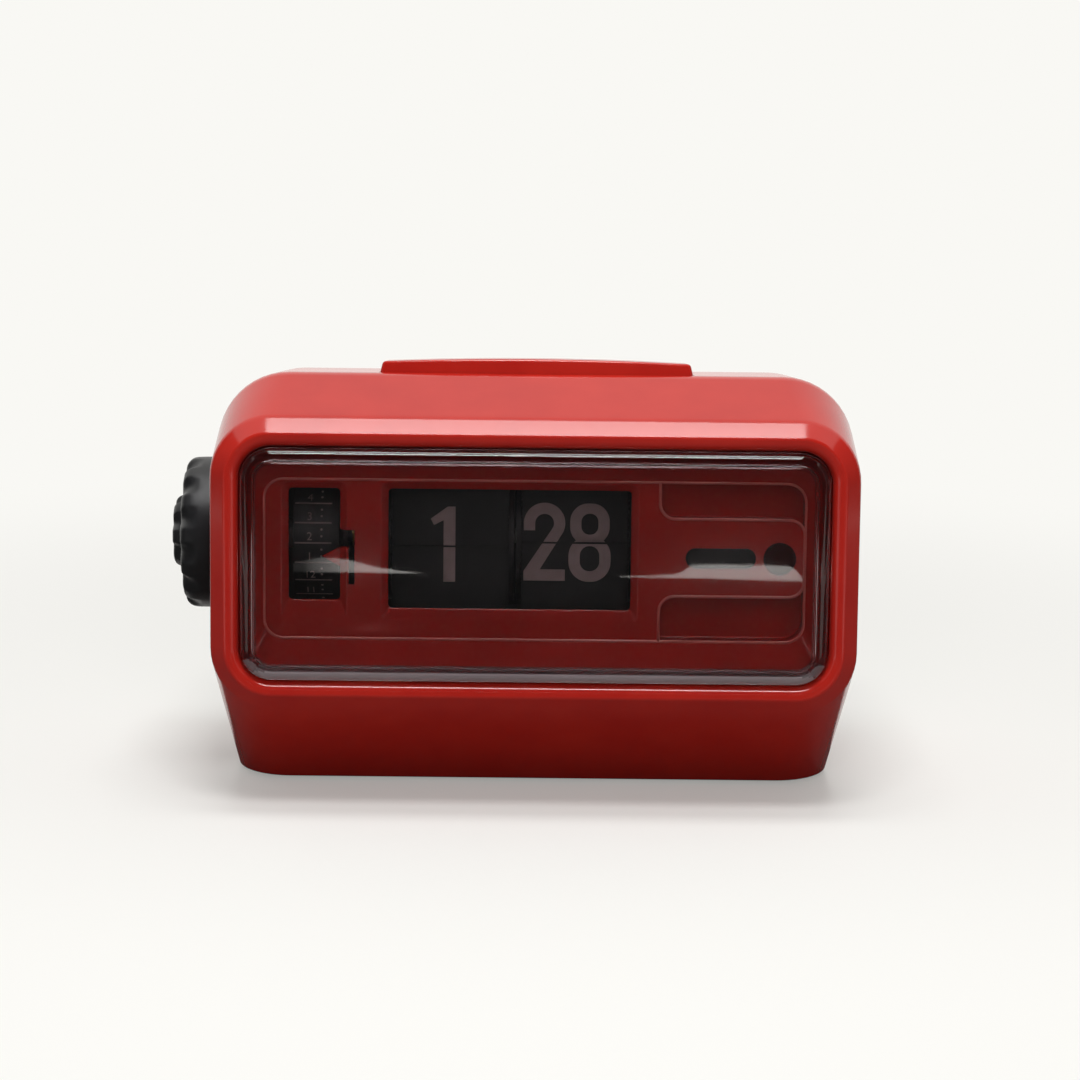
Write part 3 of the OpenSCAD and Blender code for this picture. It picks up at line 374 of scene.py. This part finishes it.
tray = moulded("red tray plastic", (0.46, 0.014, 0.010), (0.53, 0.019, 0.013),
               rough=(0.08, 0.13), grain=1200, depth=0.000006)
rounding = tray.node_tree.nodes.new("ShaderNodeBevel")
rounding.samples = 6
rounding.inputs["Radius"].default_value = 0.0007
tray.node_tree.links.new(rounding.outputs["Normal"], tray.node_tree.nodes["Bump"].inputs["Normal"])
dress(tray, "dial_panel", "alarm_pointer")
soften("dial_panel", 0.3)
soften("alarm_pointer", 0.15)
# The moulded lines are a lighter red than the tray: a painted highlight along the edges.
highlight_line_red = moulded("tray edge with painted highlight", (0.7, 0.14, 0.12), (0.78, 0.18, 0.15),
                   rough=(0.1, 0.2), grain=1200, depth=0.000006)
plateau_n = 8
dial_edge = [point + upward * 0.8 for point in window_loop(138.8, 41.2, 5, plateau_n)]
moulded_line("dial_edge_line", dial_edge, "joined")
tongue_radius = 4
arm = across * tongue_radius
lift = upward * tongue_radius
tongue_root, tongue_start, tongue_end = 32, 36, 65.2
tongue_edge = [face_point(tongue_root, plateau_n, 21.4)]
tongue_edge += corner_arc(face_point(tongue_start, plateau_n, 16), -arm, -lift)
tongue_edge += corner_arc(face_point(tongue_end, plateau_n, 8), lift, arm)
tongue_edge += corner_arc(face_point(tongue_end, plateau_n, -4), arm, -lift)
tongue_edge += corner_arc(face_point(tongue_start, plateau_n, -12), lift, -arm)
tongue_edge.append(face_point(tongue_root, plateau_n, -19.8))
moulded_line("tongue_edge_line", tongue_edge, "capped")


# Badge and lamp
# A bare gloss-black capsule stuck to the tongue, and a deep red moulded lens snapped in beside it. A neon
# bulb in a white holder sits behind the lens.
badge = moulded("gloss black badge", (0.008, 0.008, 0.009), (0.014, 0.013, 0.013),
                rough=(0.12, 0.2), grain=700, depth=0.00001)
dress(badge, "badge_plate")
soften("badge_plate", 0.2)
lamp_red = moulded("deep red lamp plastic", (0.05, 0.004, 0.005), (0.085, 0.006, 0.006),
                   rough=(0.08, 0.16), grain=500, depth=0.00002)
adjust(lamp_red, {"Transmission Weight": 0.35})
dress(lamp_red, "lamp_lens")
bulb_glass = moulded("bulb glass", (0.85, 0.6, 0.5), (0.92, 0.7, 0.6),
                     rough=(0.02, 0.06), grain=300, depth=0.00001)
adjust(bulb_glass, {"Transmission Weight": 0.9})
dress(bulb_glass, "lamp_bulb")
acetal = moulded("natural acetal", (0.66, 0.63, 0.55), (0.74, 0.71, 0.63),
                 rough=(0.34, 0.46), grain=1500, depth=0.00002)
dress(acetal, "lamp_holder", "back_gear", "drive_wheel", "alarm_switch")
soften("alarm_switch", 0.25)


# Movement frame
# Two zinc-plated steel plates held apart by turned brass posts, with screws, bushes, the motor, the buzzer
# reed, the springs and their bracket. Rolled sheet shows fine lines along its length.
def drawn_metal(name, low, high, rough, stretch):
    finish = blank_finish(name)
    adjust(finish, {"Metallic": 1})
    tree = finish.node_tree
    place = tree.nodes.new("ShaderNodeTexCoord").outputs["Object"]
    mix_shades(tree, place, low, high, 140, 3)
    lines = tree.nodes.new("ShaderNodeMapping")
    lines.inputs["Scale"].default_value = stretch
    tree.links.new(place, lines.inputs["Vector"])
    grain_surface(tree, noise_value(tree, lines.outputs["Vector"], 1, 4), rough, 0.2, 0.00002)
    return finish


zinc = drawn_metal("zinc-plated steel", (0.48, 0.49, 0.51), (0.6, 0.6, 0.6),
                   rough=(0.26, 0.42), stretch=(300, 300, 3000))
brass = drawn_metal("turned brass", (0.62, 0.42, 0.16), (0.72, 0.52, 0.22),
                    rough=(0.2, 0.34), stretch=(3000, 300, 300))
dress(zinc, "left_plate", "right_plate", "cover_screws", "panel_screws", "movement_screws", "motor_screws",
      "bracket_screws", "center_shaft", "alarm_sleeve", "back_stud", "snooze_bracket", "snooze_springs",
      "leaf_springs", "buzzer_reed", "motor")
dress(brass, "plate_posts", "bearing_bushes", "shaft_pinion", "motor_pinion")


# Alarm drum
# A black moulded drum on the ring knob's tube. Its rim is printed with twenty-four hour lines, the hours and
# two dots between each pair of lines.
def round_drum(u, angle, height):
    turn = math.radians(angle)
    return face_point(u, axle_n - height * math.cos(turn), axle_w + height * math.sin(turn))


def printed_layer(name, points, faces, finish):
    piece = add_mesh(name, points, faces)
    piece.data.materials.append(finish)
    layer = piece.modifiers.new("ink layer", "SOLIDIFY")
    layer.thickness = 0.00002
    layer.offset = 0
    return piece


def type_outline(words, tall):
    letters = bpy.data.curves.new("letters", "FONT")
    letters.body = words
    letters.size = tall / 0.7
    letters.align_x = "CENTER"
    letters.resolution_u = 6
    holder = add_object("letters", letters)
    shape = bpy.data.meshes.new_from_object(holder.evaluated_get(bpy.context.evaluated_depsgraph_get()))
    points = [(corner.co.x, corner.co.y - tall / 2) for corner in shape.vertices]
    faces = [tuple(side.vertices) for side in shape.polygons]
    bpy.data.objects.remove(holder)
    bpy.data.curves.remove(letters)
    bpy.data.meshes.remove(shape)
    return points, faces


drum_black = moulded("matte black moulding", (0.012, 0.012, 0.012), (0.02, 0.02, 0.021),
                     rough=(0.42, 0.56), grain=1400, depth=0.00003)
dress(drum_black, "alarm_drum", "minute_spool", "hour_spool")
# Print ink dimmed by painted shade from the deep window recess, plus a painted reddish bounce; the real print
# is paler.
shaded_print_ink = moulded("print ink with painted shade", (0.34, 0.265, 0.255), (0.4, 0.31, 0.3),
              rough=(0.45, 0.6), grain=2500, depth=0.00001, cloud=400)
rim = 20.04
line_left, line_right, line_width = -62.3, -52.7, 0.4
dot_u, dot_radius = -55.3, 0.32
number_u, number_tall = -58.4, 2.1
points = []
faces = []
for hour in range(24):
    middle = hour * 15
    start = len(points)
    for edge in (-0.5, 0.5):
        angle = middle + math.degrees(edge * line_width / rim)
        points += [round_drum(line_left, angle, rim), round_drum(line_right, angle, rim)]
    faces.append((start, start + 1, start + 3, start + 2))
    for third in (5, 10):
        start = len(points)
        for turn in turns_of(10):
            angle = middle + third + math.degrees(dot_radius * math.sin(turn) / rim)
            points.append(round_drum(dot_u + dot_radius * math.cos(turn), angle, rim))
        faces.append(tuple(range(start, start + 10)))
    outline, sides = type_outline(str(hour % 12 + 1), number_tall)
    start = len(points)
    for x, y in outline:
        points.append(round_drum(number_u + x, middle - 10 + math.degrees(y / rim), rim))
    faces += [tuple(start + corner for corner in side) for side in sides]
drum_print = printed_layer("drum_print", points, faces, shaded_print_ink)
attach(drum_print, "alarm_train")


# Leaves
# Black plastic film leaves with snapped-in side pins, printed with half a numeral on each face. The front
# leaf of each drum hangs on a finger until it falls and shows the next number.
def arc_points(middle, wide, tall, start, end, steps=20):
    points = []
    for step in range(steps + 1):
        turn = math.radians(start + (end - start) * step / steps)
        points.append((middle[0] + wide * math.cos(turn), middle[1] + tall * math.sin(turn)))
    return points


def soft_box(half, low, high, radius):
    points = []
    for x, y, start in ((half - radius, high - radius, 0), (radius - half, high - radius, 90),
                        (radius - half, low + radius, 180), (half - radius, low + radius, 270)):
        points += arc_points((x, y), radius, radius, start, start + 90, 10)
    return points


def one_outline(outline):
    return outline, [tuple(range(len(outline)))]


def band_between(outer, inner):
    count = len(outer)
    faces = []
    for place in range(count):
        beside = (place + 1) % count
        faces.append((place, beside, count + beside, count + place))
    return outer + inner, faces


def numeral(figure):
    if figure == "1":
        return [one_outline([(1.6, -10.2), (1.6, 9.6), (-0.4, 9.6), (-4.85, 6.4),
                             (-4.0, 4.7), (-1.5, 6.0), (-1.5, -10.2)])]
    if figure == "2":
        outer = [(-5.4, 3.0)] + arc_points((0, 4.9), 5.4, 5.4, 180, -25)
        foot = [(-1.15, -7.2), (5.4, -7.2), (5.4, -10.2), (-5.4, -10.2), (-5.4, -7.7)]
        inner = arc_points((0, 4.9), 2.45, 2.45, -28, 180) + [(-2.45, 3.0)]
        return [one_outline(outer + foot + inner)]
    if figure == "8":
        top = band_between(soft_box(5.15, -0.6, 10.3, 4.7), soft_box(2.2, 2.1, 7.6, 2.1))
        bottom = band_between(soft_box(5.5, -10.3, 1.8, 5.2), soft_box(2.55, -7.5, -0.9, 2.5))
        return [top, bottom]
    top = band_between(soft_box(5.4, -1.9, 10.3, 5.2), soft_box(2.45, 0.9, 7.5, 2.4))
    hook = arc_points((0, -4.9), 5.4, 5.4, 0, -180) + [(-5.4, -4.1), (-2.45, -4.1)]
    hook += arc_points((0, -4.9), 2.45, 2.45, -180, 0) + [(2.45, 4), (5.4, 4)]
    return [top, one_outline(hook)]


def half_print(name, figures, split, keep_top, place, body):
    points = []
    faces = []
    for figure, centre, middle in figures:
        for outline, sides in numeral(figure):
            start = len(points)
            points += [Vector((centre + x, middle + y, 0)) for x, y in outline]
            faces += [tuple(start + corner for corner in side) for side in sides]
    piece = printed_layer(name, points, faces, shaded_print_ink)
    shape = bmesh.new()
    shape.from_mesh(piece.data)
    everything = shape.verts[:] + shape.edges[:] + shape.faces[:]
    gap = top_gap if keep_top else -low_gap
    bmesh.ops.bisect_plane(shape, geom=everything, plane_co=(0, split + gap, 0), plane_no=(0, 1, 0),
                           clear_inner=keep_top, clear_outer=not keep_top)
    for corner in shape.verts:
        corner.co = place(corner.co.x, corner.co.y)
    shape.to_mesh(piece.data)
    shape.free()
    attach(piece, body)


def on_front(n):
    return lambda u, w: face_point(u, n, w)


def on_back(n):
    return lambda u, w: face_point(u, n, 2 * pivot_rise - w)


def on_next(pivot_angle, leaning):
    lean = math.radians(leaning)
    pivot_n = axle_n - pivot_radius * math.cos(math.radians(pivot_angle))
    pivot_w = axle_w + pivot_radius * math.sin(math.radians(pivot_angle))

    def place(u, w):
        up = w - pivot_rise
        n = pivot_n - print_off * math.cos(lean) + up * math.sin(lean)
        return face_point(u, n, pivot_w + up * math.cos(lean))
    return place


film = moulded("black leaf film", (0.008, 0.008, 0.009), (0.013, 0.013, 0.014),
               rough=(0.4, 0.5), grain=1800, depth=0.000003)
dress(film, "minute_leaves", "hour_leaves", "minute_upper_leaf", "hour_upper_leaf")
pivot_radius, pivot_rise = 16, 4.916
print_off = 0.09
top_gap, low_gap = 0.16, 0.32
minute_split, hour_split = 4.08, 2.83
minutes_now = [("2", 2.5, 4.2), ("8", 14.3, 4.1)]
minutes_next = [("2", 2.5, 4.2), ("9", 14.3, 4.1)]
hours_now = [("1", -22.3, 3.6)]
hours_next = [("2", -23.2, 3.6)]
half_print("minute_now_top", minutes_now, minute_split, True, on_front(19.95), "minute_flap")
half_print("minute_now_low", minutes_now, minute_split, False, on_front(19.92), "case")
half_print("hour_now_top", hours_now, hour_split, True, on_front(19.95), "hour_flap")
half_print("hour_now_low", hours_now, hour_split, False, on_front(20.2), "case")
half_print("minute_next_low", minutes_next, minute_split, False, on_back(20.15), "minute_flap")
half_print("hour_next_low", hours_next, hour_split, False, on_back(20.15), "hour_flap")
half_print("minute_next_top", minutes_next, minute_split, True, on_next(10, 6), "case")
half_print("hour_next_top", hours_next, hour_split, True, on_next(19, 15), "case")


# Window
# A smoked clear acrylic cap, injection moulded with a thick rounded rim. It is pressed into the frame and
# stands a little proud of it. The thick edge looks darker than the face; its bottom has a painted reflection.
def window_shell(name, width, height, radius, front, back, thick, edge, outer_round, inner_round):
    def inset_loop(inset, depth):
        return window_loop(width - 2 * inset, height - 2 * inset, max(radius - inset, 1), depth)

    outside = [inset_loop(0, back)]
    for step in range(8):
        turn = math.pi / 2 * step / 7
        depth = front + outer_round * (1 - math.sin(turn))
        outside.append(inset_loop(outer_round * (1 - math.cos(turn)), depth))
    inside = []
    for step in range(6):
        turn = math.pi / 2 * (5 - step) / 5
        depth = front + thick + inner_round * (1 - math.sin(turn))
        inside.append(inset_loop(edge + inner_round * (1 - math.cos(turn)), depth))
    inside.append(inset_loop(edge, back))
    return skin(name, inside + outside, "capped")


acrylic_ior = 1.49
smoke = moulded("smoked acrylic", (0.84, 0.8, 0.81), (0.87, 0.83, 0.84),
                rough=(0.0, 0.03), grain=200, depth=0.000002, cloud=20)
adjust(smoke, {"Transmission Weight": 1, "IOR": acrylic_ior, "Specular IOR Level": 0.5})
window = window_shell("smoked_window", 150.2, 59.6, 8.1, front=-1, back=2.9, thick=2, edge=3.1,
                      outer_round=2.6, inner_round=1.2)
even_shading(window)
window.data.materials.append(smoke)
smoke_edge = moulded("smoked acrylic edge", (0.4, 0.26, 0.28), (0.44, 0.3, 0.32),
                     rough=(0.0, 0.03), grain=200, depth=0.0000005, cloud=20)
# Painted reflection: the bottom of the rim takes a lighter, partly opaque grey, with a half-clear band above
# it.
painted_reflection_edge = moulded("acrylic edge with painted reflection", (0.4, 0.33, 0.35), (0.46, 0.39, 0.41),
                     rough=(0.0, 0.04), grain=200, depth=0.0000005, cloud=20)
half_reflection_edge = painted_reflection_edge.copy()
half_reflection_edge.name = "acrylic edge with half painted reflection"
for finish, clear in ((smoke_edge, 1), (half_reflection_edge, 0.75), (painted_reflection_edge, 0.4)):
    adjust(finish, {"Transmission Weight": clear, "IOR": acrylic_ior})
    window.data.materials.append(finish)
# Faces low on the rim take the painted reflection band, and the half-clear band above it.
half_band_below = face_point(0, 0, -24.4).z
reflection_band_below = face_point(0, 0, -27.2).z
for face in window.data.polygons:
    if len(face.vertices) == 4:
        face.material_index = 1
        if face.center.z < half_band_below:
            face.material_index = 2
        if face.center.z < reflection_band_below:
            face.material_index = 3
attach(window, "case")
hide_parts("front_lens")


# Snooze bar
# A hollow red ABS bar with a bowed front and a crowned top, guided in a slot in the case and lifted by two
# coil springs.
def return_spring(side):
    rings = []
    steps = 100
    for step in range(steps + 1):
        turn = 2 * math.pi * spring_turns * step / steps
        outward = Vector((math.cos(turn), math.sin(turn), 0))
        middle = Vector((side, spring_y, spring_foot + spring_rise * step / steps)) + outward * coil_radius
        ring = []
        for around in turns_of(8):
            offset = outward * math.cos(around) + Vector((0, 0, math.sin(around)))
            ring.append(crest @ ((middle + offset * wire_radius) / 1000))
        rings.append(ring)
    return skin("return_springs", rings, "capped")


dress(red, "snooze_bar")
soften("snooze_bar", 0.8, 40, False)
spring_x, spring_y = 28, 11.5
spring_foot, spring_rise, spring_turns = -10.85, 6.1, 5
coil_radius, wire_radius = 3.4, 0.4
springs = return_spring(-spring_x)
second = return_spring(spring_x)
pair = bmesh.new()
pair.from_mesh(springs.data)
pair.from_mesh(second.data)
pair.to_mesh(springs.data)
pair.free()
bpy.data.objects.remove(second)
springs.data.materials.append(zinc)
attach(springs, "case")
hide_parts("snooze_springs")
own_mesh(springs)


# Knobs
# Two satin black knobs on one axis: the ring turns the alarm drum through a tube, the middle one sets the
# time. Finger scoops are moulded round both.
def scooped_knob(name, profile, scoops, first, ends, body, node):
    loops = []
    for x, radius, bite in profile:
        loop = []
        for turn in turns_of(260):
            scoop = max(0, 0.25 + 0.75 * math.cos(scoops * (turn - math.radians(first))))
            reach = radius - bite * scoop
            loop.append(axle + Vector((x, reach * math.cos(turn), reach * math.sin(turn))) / 1000)
        loops.append(loop)
    knob = skin(name, loops, ends)
    knob.data.materials.append(knob_black)
    even_shading(knob)
    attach(knob, body)
    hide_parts(node)


knob_black = moulded("satin black plastic", (0.008, 0.008, 0.009), (0.014, 0.014, 0.016),
                     rough=(0.36, 0.48), grain=1600, depth=0.00003)

# Each profile row is a place along the axis, a radius and the depth of the scoops there.
ring_profile = [
    (-83.7, 4, 0), (-83.7, 19.2, 0), (-83.8, 19.6, 0), (-84.2, 19.9, 0), (-85, 20, 0), (-87.4, 20, 0),
    (-88.4, 20, 0.3), (-89.4, 19.95, 0.8), (-90.4, 19.8, 1.4), (-91.2, 19.4, 1.9), (-91.8, 18.8, 2.1),
    (-92.2, 18.1, 2.2), (-92.4, 17.2, 2.1), (-92.4, 16.8, 2), (-92.4, 11.3, 0), (-92.3, 10.8, 0),
    (-92, 10.6, 0), (-86.5, 10.5, 0), (-86.5, 4, 0),
]
scooped_knob("ring_knob", ring_profile, 13, -9, "joined", "alarm_train", "alarm_knob")
middle_profile = [
    (-87, 2, 0), (-87, 9.6, 0), (-87.2, 9.9, 0), (-90, 10, 0), (-91.6, 10, 0.2), (-92.6, 9.95, 0.7),
    (-93.6, 9.8, 1.3), (-94.5, 9.4, 1.7), (-95.1, 8.9, 1.8), (-95.5, 8.2, 1.8), (-95.6, 7.4, 1.7),
    (-95.6, 6.8, 1.5), (-95.6, 1, 0),
]
scooped_knob("middle_knob", middle_profile, 7, -3.5, "capped", "time_train", "time_knob")


# Rear and underside
# A grained black cover screwed to the case, with sound slots, a rubber lead bush, the alarm switch and four
# rubber feet. A sheet of black felt is glued behind the slots and keeps dust out.
cover_black = moulded("grained black plastic", (0.016, 0.016, 0.016), (0.026, 0.026, 0.027),
                      rough=(0.5, 0.64), grain=1100, depth=0.00012)
dress(cover_black, "rear_cover")
soften("rear_cover", 0.3)
rubber = moulded("black rubber", (0.014, 0.014, 0.014), (0.022, 0.021, 0.02),
                 rough=(0.7, 0.85), grain=900, depth=0.00006)
dress(rubber, "rubber_feet", "cord_gland")
soften("rubber_feet", 0.2)
soften("cord_gland", 0.3)
felt = moulded("black dust felt", (0.01, 0.01, 0.01), (0.03, 0.03, 0.03),
               rough=(0.85, 0.95), grain=2600, depth=0.0002, cloud=900)
felt_front, felt_back = 0.0246, 0.025
felt_half_wide, felt_half_tall, felt_z = 0.023, 0.0165, 0.0529
felt_ends = []
for y in (felt_front, felt_back):
    sheet = []
    for step in range(40):
        turn = 2 * math.pi * (step + 0.5) / 40
        x = max(-1, min(1, 1.3 * math.cos(turn))) * felt_half_wide
        z = max(-1, min(1, 1.3 * math.sin(turn))) * felt_half_tall
        sheet.append(Vector((x, y, felt_z + z)))
    felt_ends.append(sheet)
dust_felt = skin("dust_felt", felt_ends, "capped")
dust_felt.data.shade_flat()
dust_felt.data.materials.append(felt)
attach(dust_felt, "case")


# Studio
# A white sweep with an overhead softbox, a high lamp and a low strip in front, and pale walls. Dark cards
# seen only in reflections keep the window clear, and two bright shapes before them give its white glints.
def join_values(tree, operation, first, second):
    joined = tree.nodes.new("ShaderNodeMath")
    joined.operation = operation
    tree.links.new(first, joined.inputs[0])
    if isinstance(second, float):
        joined.inputs[1].default_value = second
    else:
        tree.links.new(second, joined.inputs[1])
    return joined.outputs[0]


def seen_directly(tree):
    path = tree.nodes.new("ShaderNodeLightPath").outputs
    seen = join_values(tree, "MAXIMUM", path["Is Camera Ray"], path["Is Glossy Ray"])
    seen = join_values(tree, "MAXIMUM", seen, path["Is Transmission Ray"])
    straight = join_values(tree, "LESS_THAN", path["Diffuse Depth"], 0.5)
    return join_values(tree, "MULTIPLY", seen, straight)


def place_along(tree, kind, axis):
    place = tree.nodes.new("ShaderNodeTexCoord").outputs[kind]
    parts = tree.nodes.new("ShaderNodeSeparateXYZ")
    tree.links.new(place, parts.inputs[0])
    return parts.outputs[axis]


def studio_lamp(name, wide, deep, watts, place, tilt):
    lamp = add_object(name, bpy.data.lights.new(name, "AREA"))
    lamp.data.shape = "RECTANGLE"
    lamp.data.size = wide
    lamp.data.size_y = deep
    lamp.data.energy = watts
    lamp.location = place
    lamp.rotation_euler = (math.radians(tilt), 0, 0)
    return lamp


def studio_card(name, corners, finish):
    card = add_mesh(name, [Vector(corner) / 1000 for corner in corners], [tuple(range(len(corners)))])
    card.data.materials.append(finish)
    card.visible_camera = False
    card.visible_diffuse = False
    card.visible_shadow = False


camera = add_object("camera", bpy.data.cameras.new("camera"))
camera.data.sensor_width = 36
camera.data.lens = 91.93
eye_distance = 0.7
eye_rise = math.radians(13)
eye_roll = math.radians(0.64)
window_middle = face_point(0, 0, 0)
aim = window_middle + Vector((0.0013, 0, 0.0073))
eye = window_middle + Vector((0, -math.cos(eye_rise), math.sin(eye_rise))) * eye_distance
sight = (aim - eye).to_track_quat("-Z", "Y").to_matrix().to_4x4()
camera.matrix_world = Matrix.Translation(eye) @ sight @ Matrix.Rotation(eye_roll, 4, "Z")
bpy.context.scene.camera = camera
bpy.context.scene.view_settings.view_transform = "Standard"

# The floor glows white away from the object and keeps its shadow close to it.
studio_white = (0.947, 0.939, 0.905, 1)
floor = add_mesh("floor", [(-40, -40, 0), (40, -40, 0), (40, 40, 0), (-40, 40, 0)], [(0, 1, 2, 3)])
paper = blank_finish("white paper sweep")
tree = paper.node_tree
tree.nodes.remove(tree.nodes["Principled BSDF"])
matte = tree.nodes.new("ShaderNodeBsdfDiffuse")
glow = tree.nodes.new("ShaderNodeEmission")
glow.inputs["Color"].default_value = studio_white
length = tree.nodes.new("ShaderNodeVectorMath")
length.operation = "LENGTH"
tree.links.new(tree.nodes.new("ShaderNodeTexCoord").outputs["Object"], length.inputs[0])
away = map_range(tree, length.outputs["Value"], 0.1, 0.42, 0.3, 1, "SMOOTHSTEP")
in_view = seen_directly(tree)
whiteness = tree.nodes.new("ShaderNodeMix")
whiteness.data_type = "RGBA"
whiteness.inputs["A"].default_value = (0.32, 0.314, 0.3, 1)
whiteness.inputs["B"].default_value = (0.9, 0.893, 0.868, 1)
tree.links.new(in_view, whiteness.inputs["Factor"])
tree.links.new(whiteness.outputs["Result"], matte.inputs["Color"])
blend = tree.nodes.new("ShaderNodeMixShader")
tree.links.new(join_values(tree, "MULTIPLY", away, in_view), blend.inputs["Fac"])
tree.links.new(matte.outputs[0], blend.inputs[1])
tree.links.new(glow.outputs[0], blend.inputs[2])
tree.links.new(blend.outputs[0], tree.nodes["Material Output"].inputs["Surface"])
floor.data.materials.append(paper)

# The walls light the object from behind and at the sides, and look white where they are seen.
world = bpy.data.worlds.new("studio walls")
bpy.context.scene.world = world
world.use_nodes = True
tree = world.node_tree
walls = tree.nodes["Background"]
level = tree.nodes.new("ShaderNodeMix")
level.inputs["B"].default_value = 1
rear_light = map_range(tree, place_along(tree, "Generated", "Y"), -0.7, 0.5, 0.08, 0.55, "SMOOTHSTEP")
tree.links.new(rear_light, level.inputs["A"])
tree.links.new(seen_directly(tree), level.inputs["Factor"])
walls.inputs["Color"].default_value = studio_white
tree.links.new(level.outputs["Result"], walls.inputs["Strength"])

studio_lamp("overhead softbox", 0.55, 0.25, 3.8, (0, -0.07, 1.1), 0)
studio_lamp("high front lamp", 0.4, 0.2, 4.4, (0, -0.45, 1.0), 23)
low_strip = studio_lamp("low front strip", 0.6, 0.1, 2.6, (0, -1.0, 0.47), 67)
low_strip.visible_glossy = False

velvet = blank_finish("black velvet flag")
adjust(velvet, {"Base Color": (0.1, 0.1, 0.1, 1), "Roughness": 1, "Specular IOR Level": 0})
dark_cards = {
    "flag_upright": [(-180, -460, 0.5), (180, -460, 0.5), (180, -460, 260), (-180, -460, 260)],
    "flag_left": [(-600, -400, 0.5), (-140, -300, 0.5), (-140, 100, 0.5), (-600, 300, 0.5)],
    "wing_left": [(-650, -500, 0.5), (-650, 200, 0.5), (-650, 200, 600), (-650, -500, 600)],
    "wing_right": [(650, -500, 0.5), (650, 200, 0.5), (650, 200, 600), (650, -500, 600)],
    "flag_right": [(600, -400, 0.5), (140, -300, 0.5), (140, 100, 0.5), (600, 300, 0.5)],
    "dark_hall": [(-1500, -1300, 0.5), (1500, -1300, 0.5), (1500, -1300, 1600), (-1500, -1300, 1600)],
    "dark_ceiling": [(-1500, -1300, 1600), (1500, -1300, 1600), (1500, 0, 1600), (-1500, 0, 1600)],
    "flag_flat": [(-150, 0, 0.5), (150, 0, 0.5), (260, -800, 0.5), (-260, -800, 0.5)],
}
for name, corners in dark_cards.items():
    studio_card(name, corners, velvet)

tube = blank_finish("strip lamp")
adjust(tube, {"Base Color": (0, 0, 0, 1), "Emission Color": (1, 0.97, 0.92, 1), "Emission Strength": 3})
fading_tube = tube.copy()
fading_tube.name = "fading strip lamp"
tree = fading_tube.node_tree
fade = map_range(tree, place_along(tree, "Object", "X"), -0.092, -0.068, 0.2, 3.2)
tree.links.new(fade, tree.nodes["Principled BSDF"].inputs["Emission Strength"])
tube_y = -450
left_tube = [(-95.7, 46.1), (-89.9, 47.5), (-84.6, 48.2), (-78.8, 48.2), (-72.9, 47.4), (-67.7, 46.1),
             (-62.5, 44.7), (-56, 43.7), (-44, 42.7), (-50.8, 42.5), (-71.6, 42.6), (-95.7, 42.7)]
right_tube = [(33.9, 42.2), (46, 42.6), (54.9, 43.1), (58.1, 44), (60.6, 45.7), (62.5, 46.9), (67.6, 47.3),
              (80.3, 47.3), (93, 47.1), (101.3, 46.9), (103.8, 45.5), (105.5, 43.3), (106.8, 41), (93, 41.3),
              (67.6, 41.7), (33.9, 41.9)]
studio_card("strip_lamp_left", [(x, tube_y, z) for x, z in left_tube], fading_tube)
studio_card("strip_lamp_right", [(x, tube_y, z) for x, z in right_tube], tube)
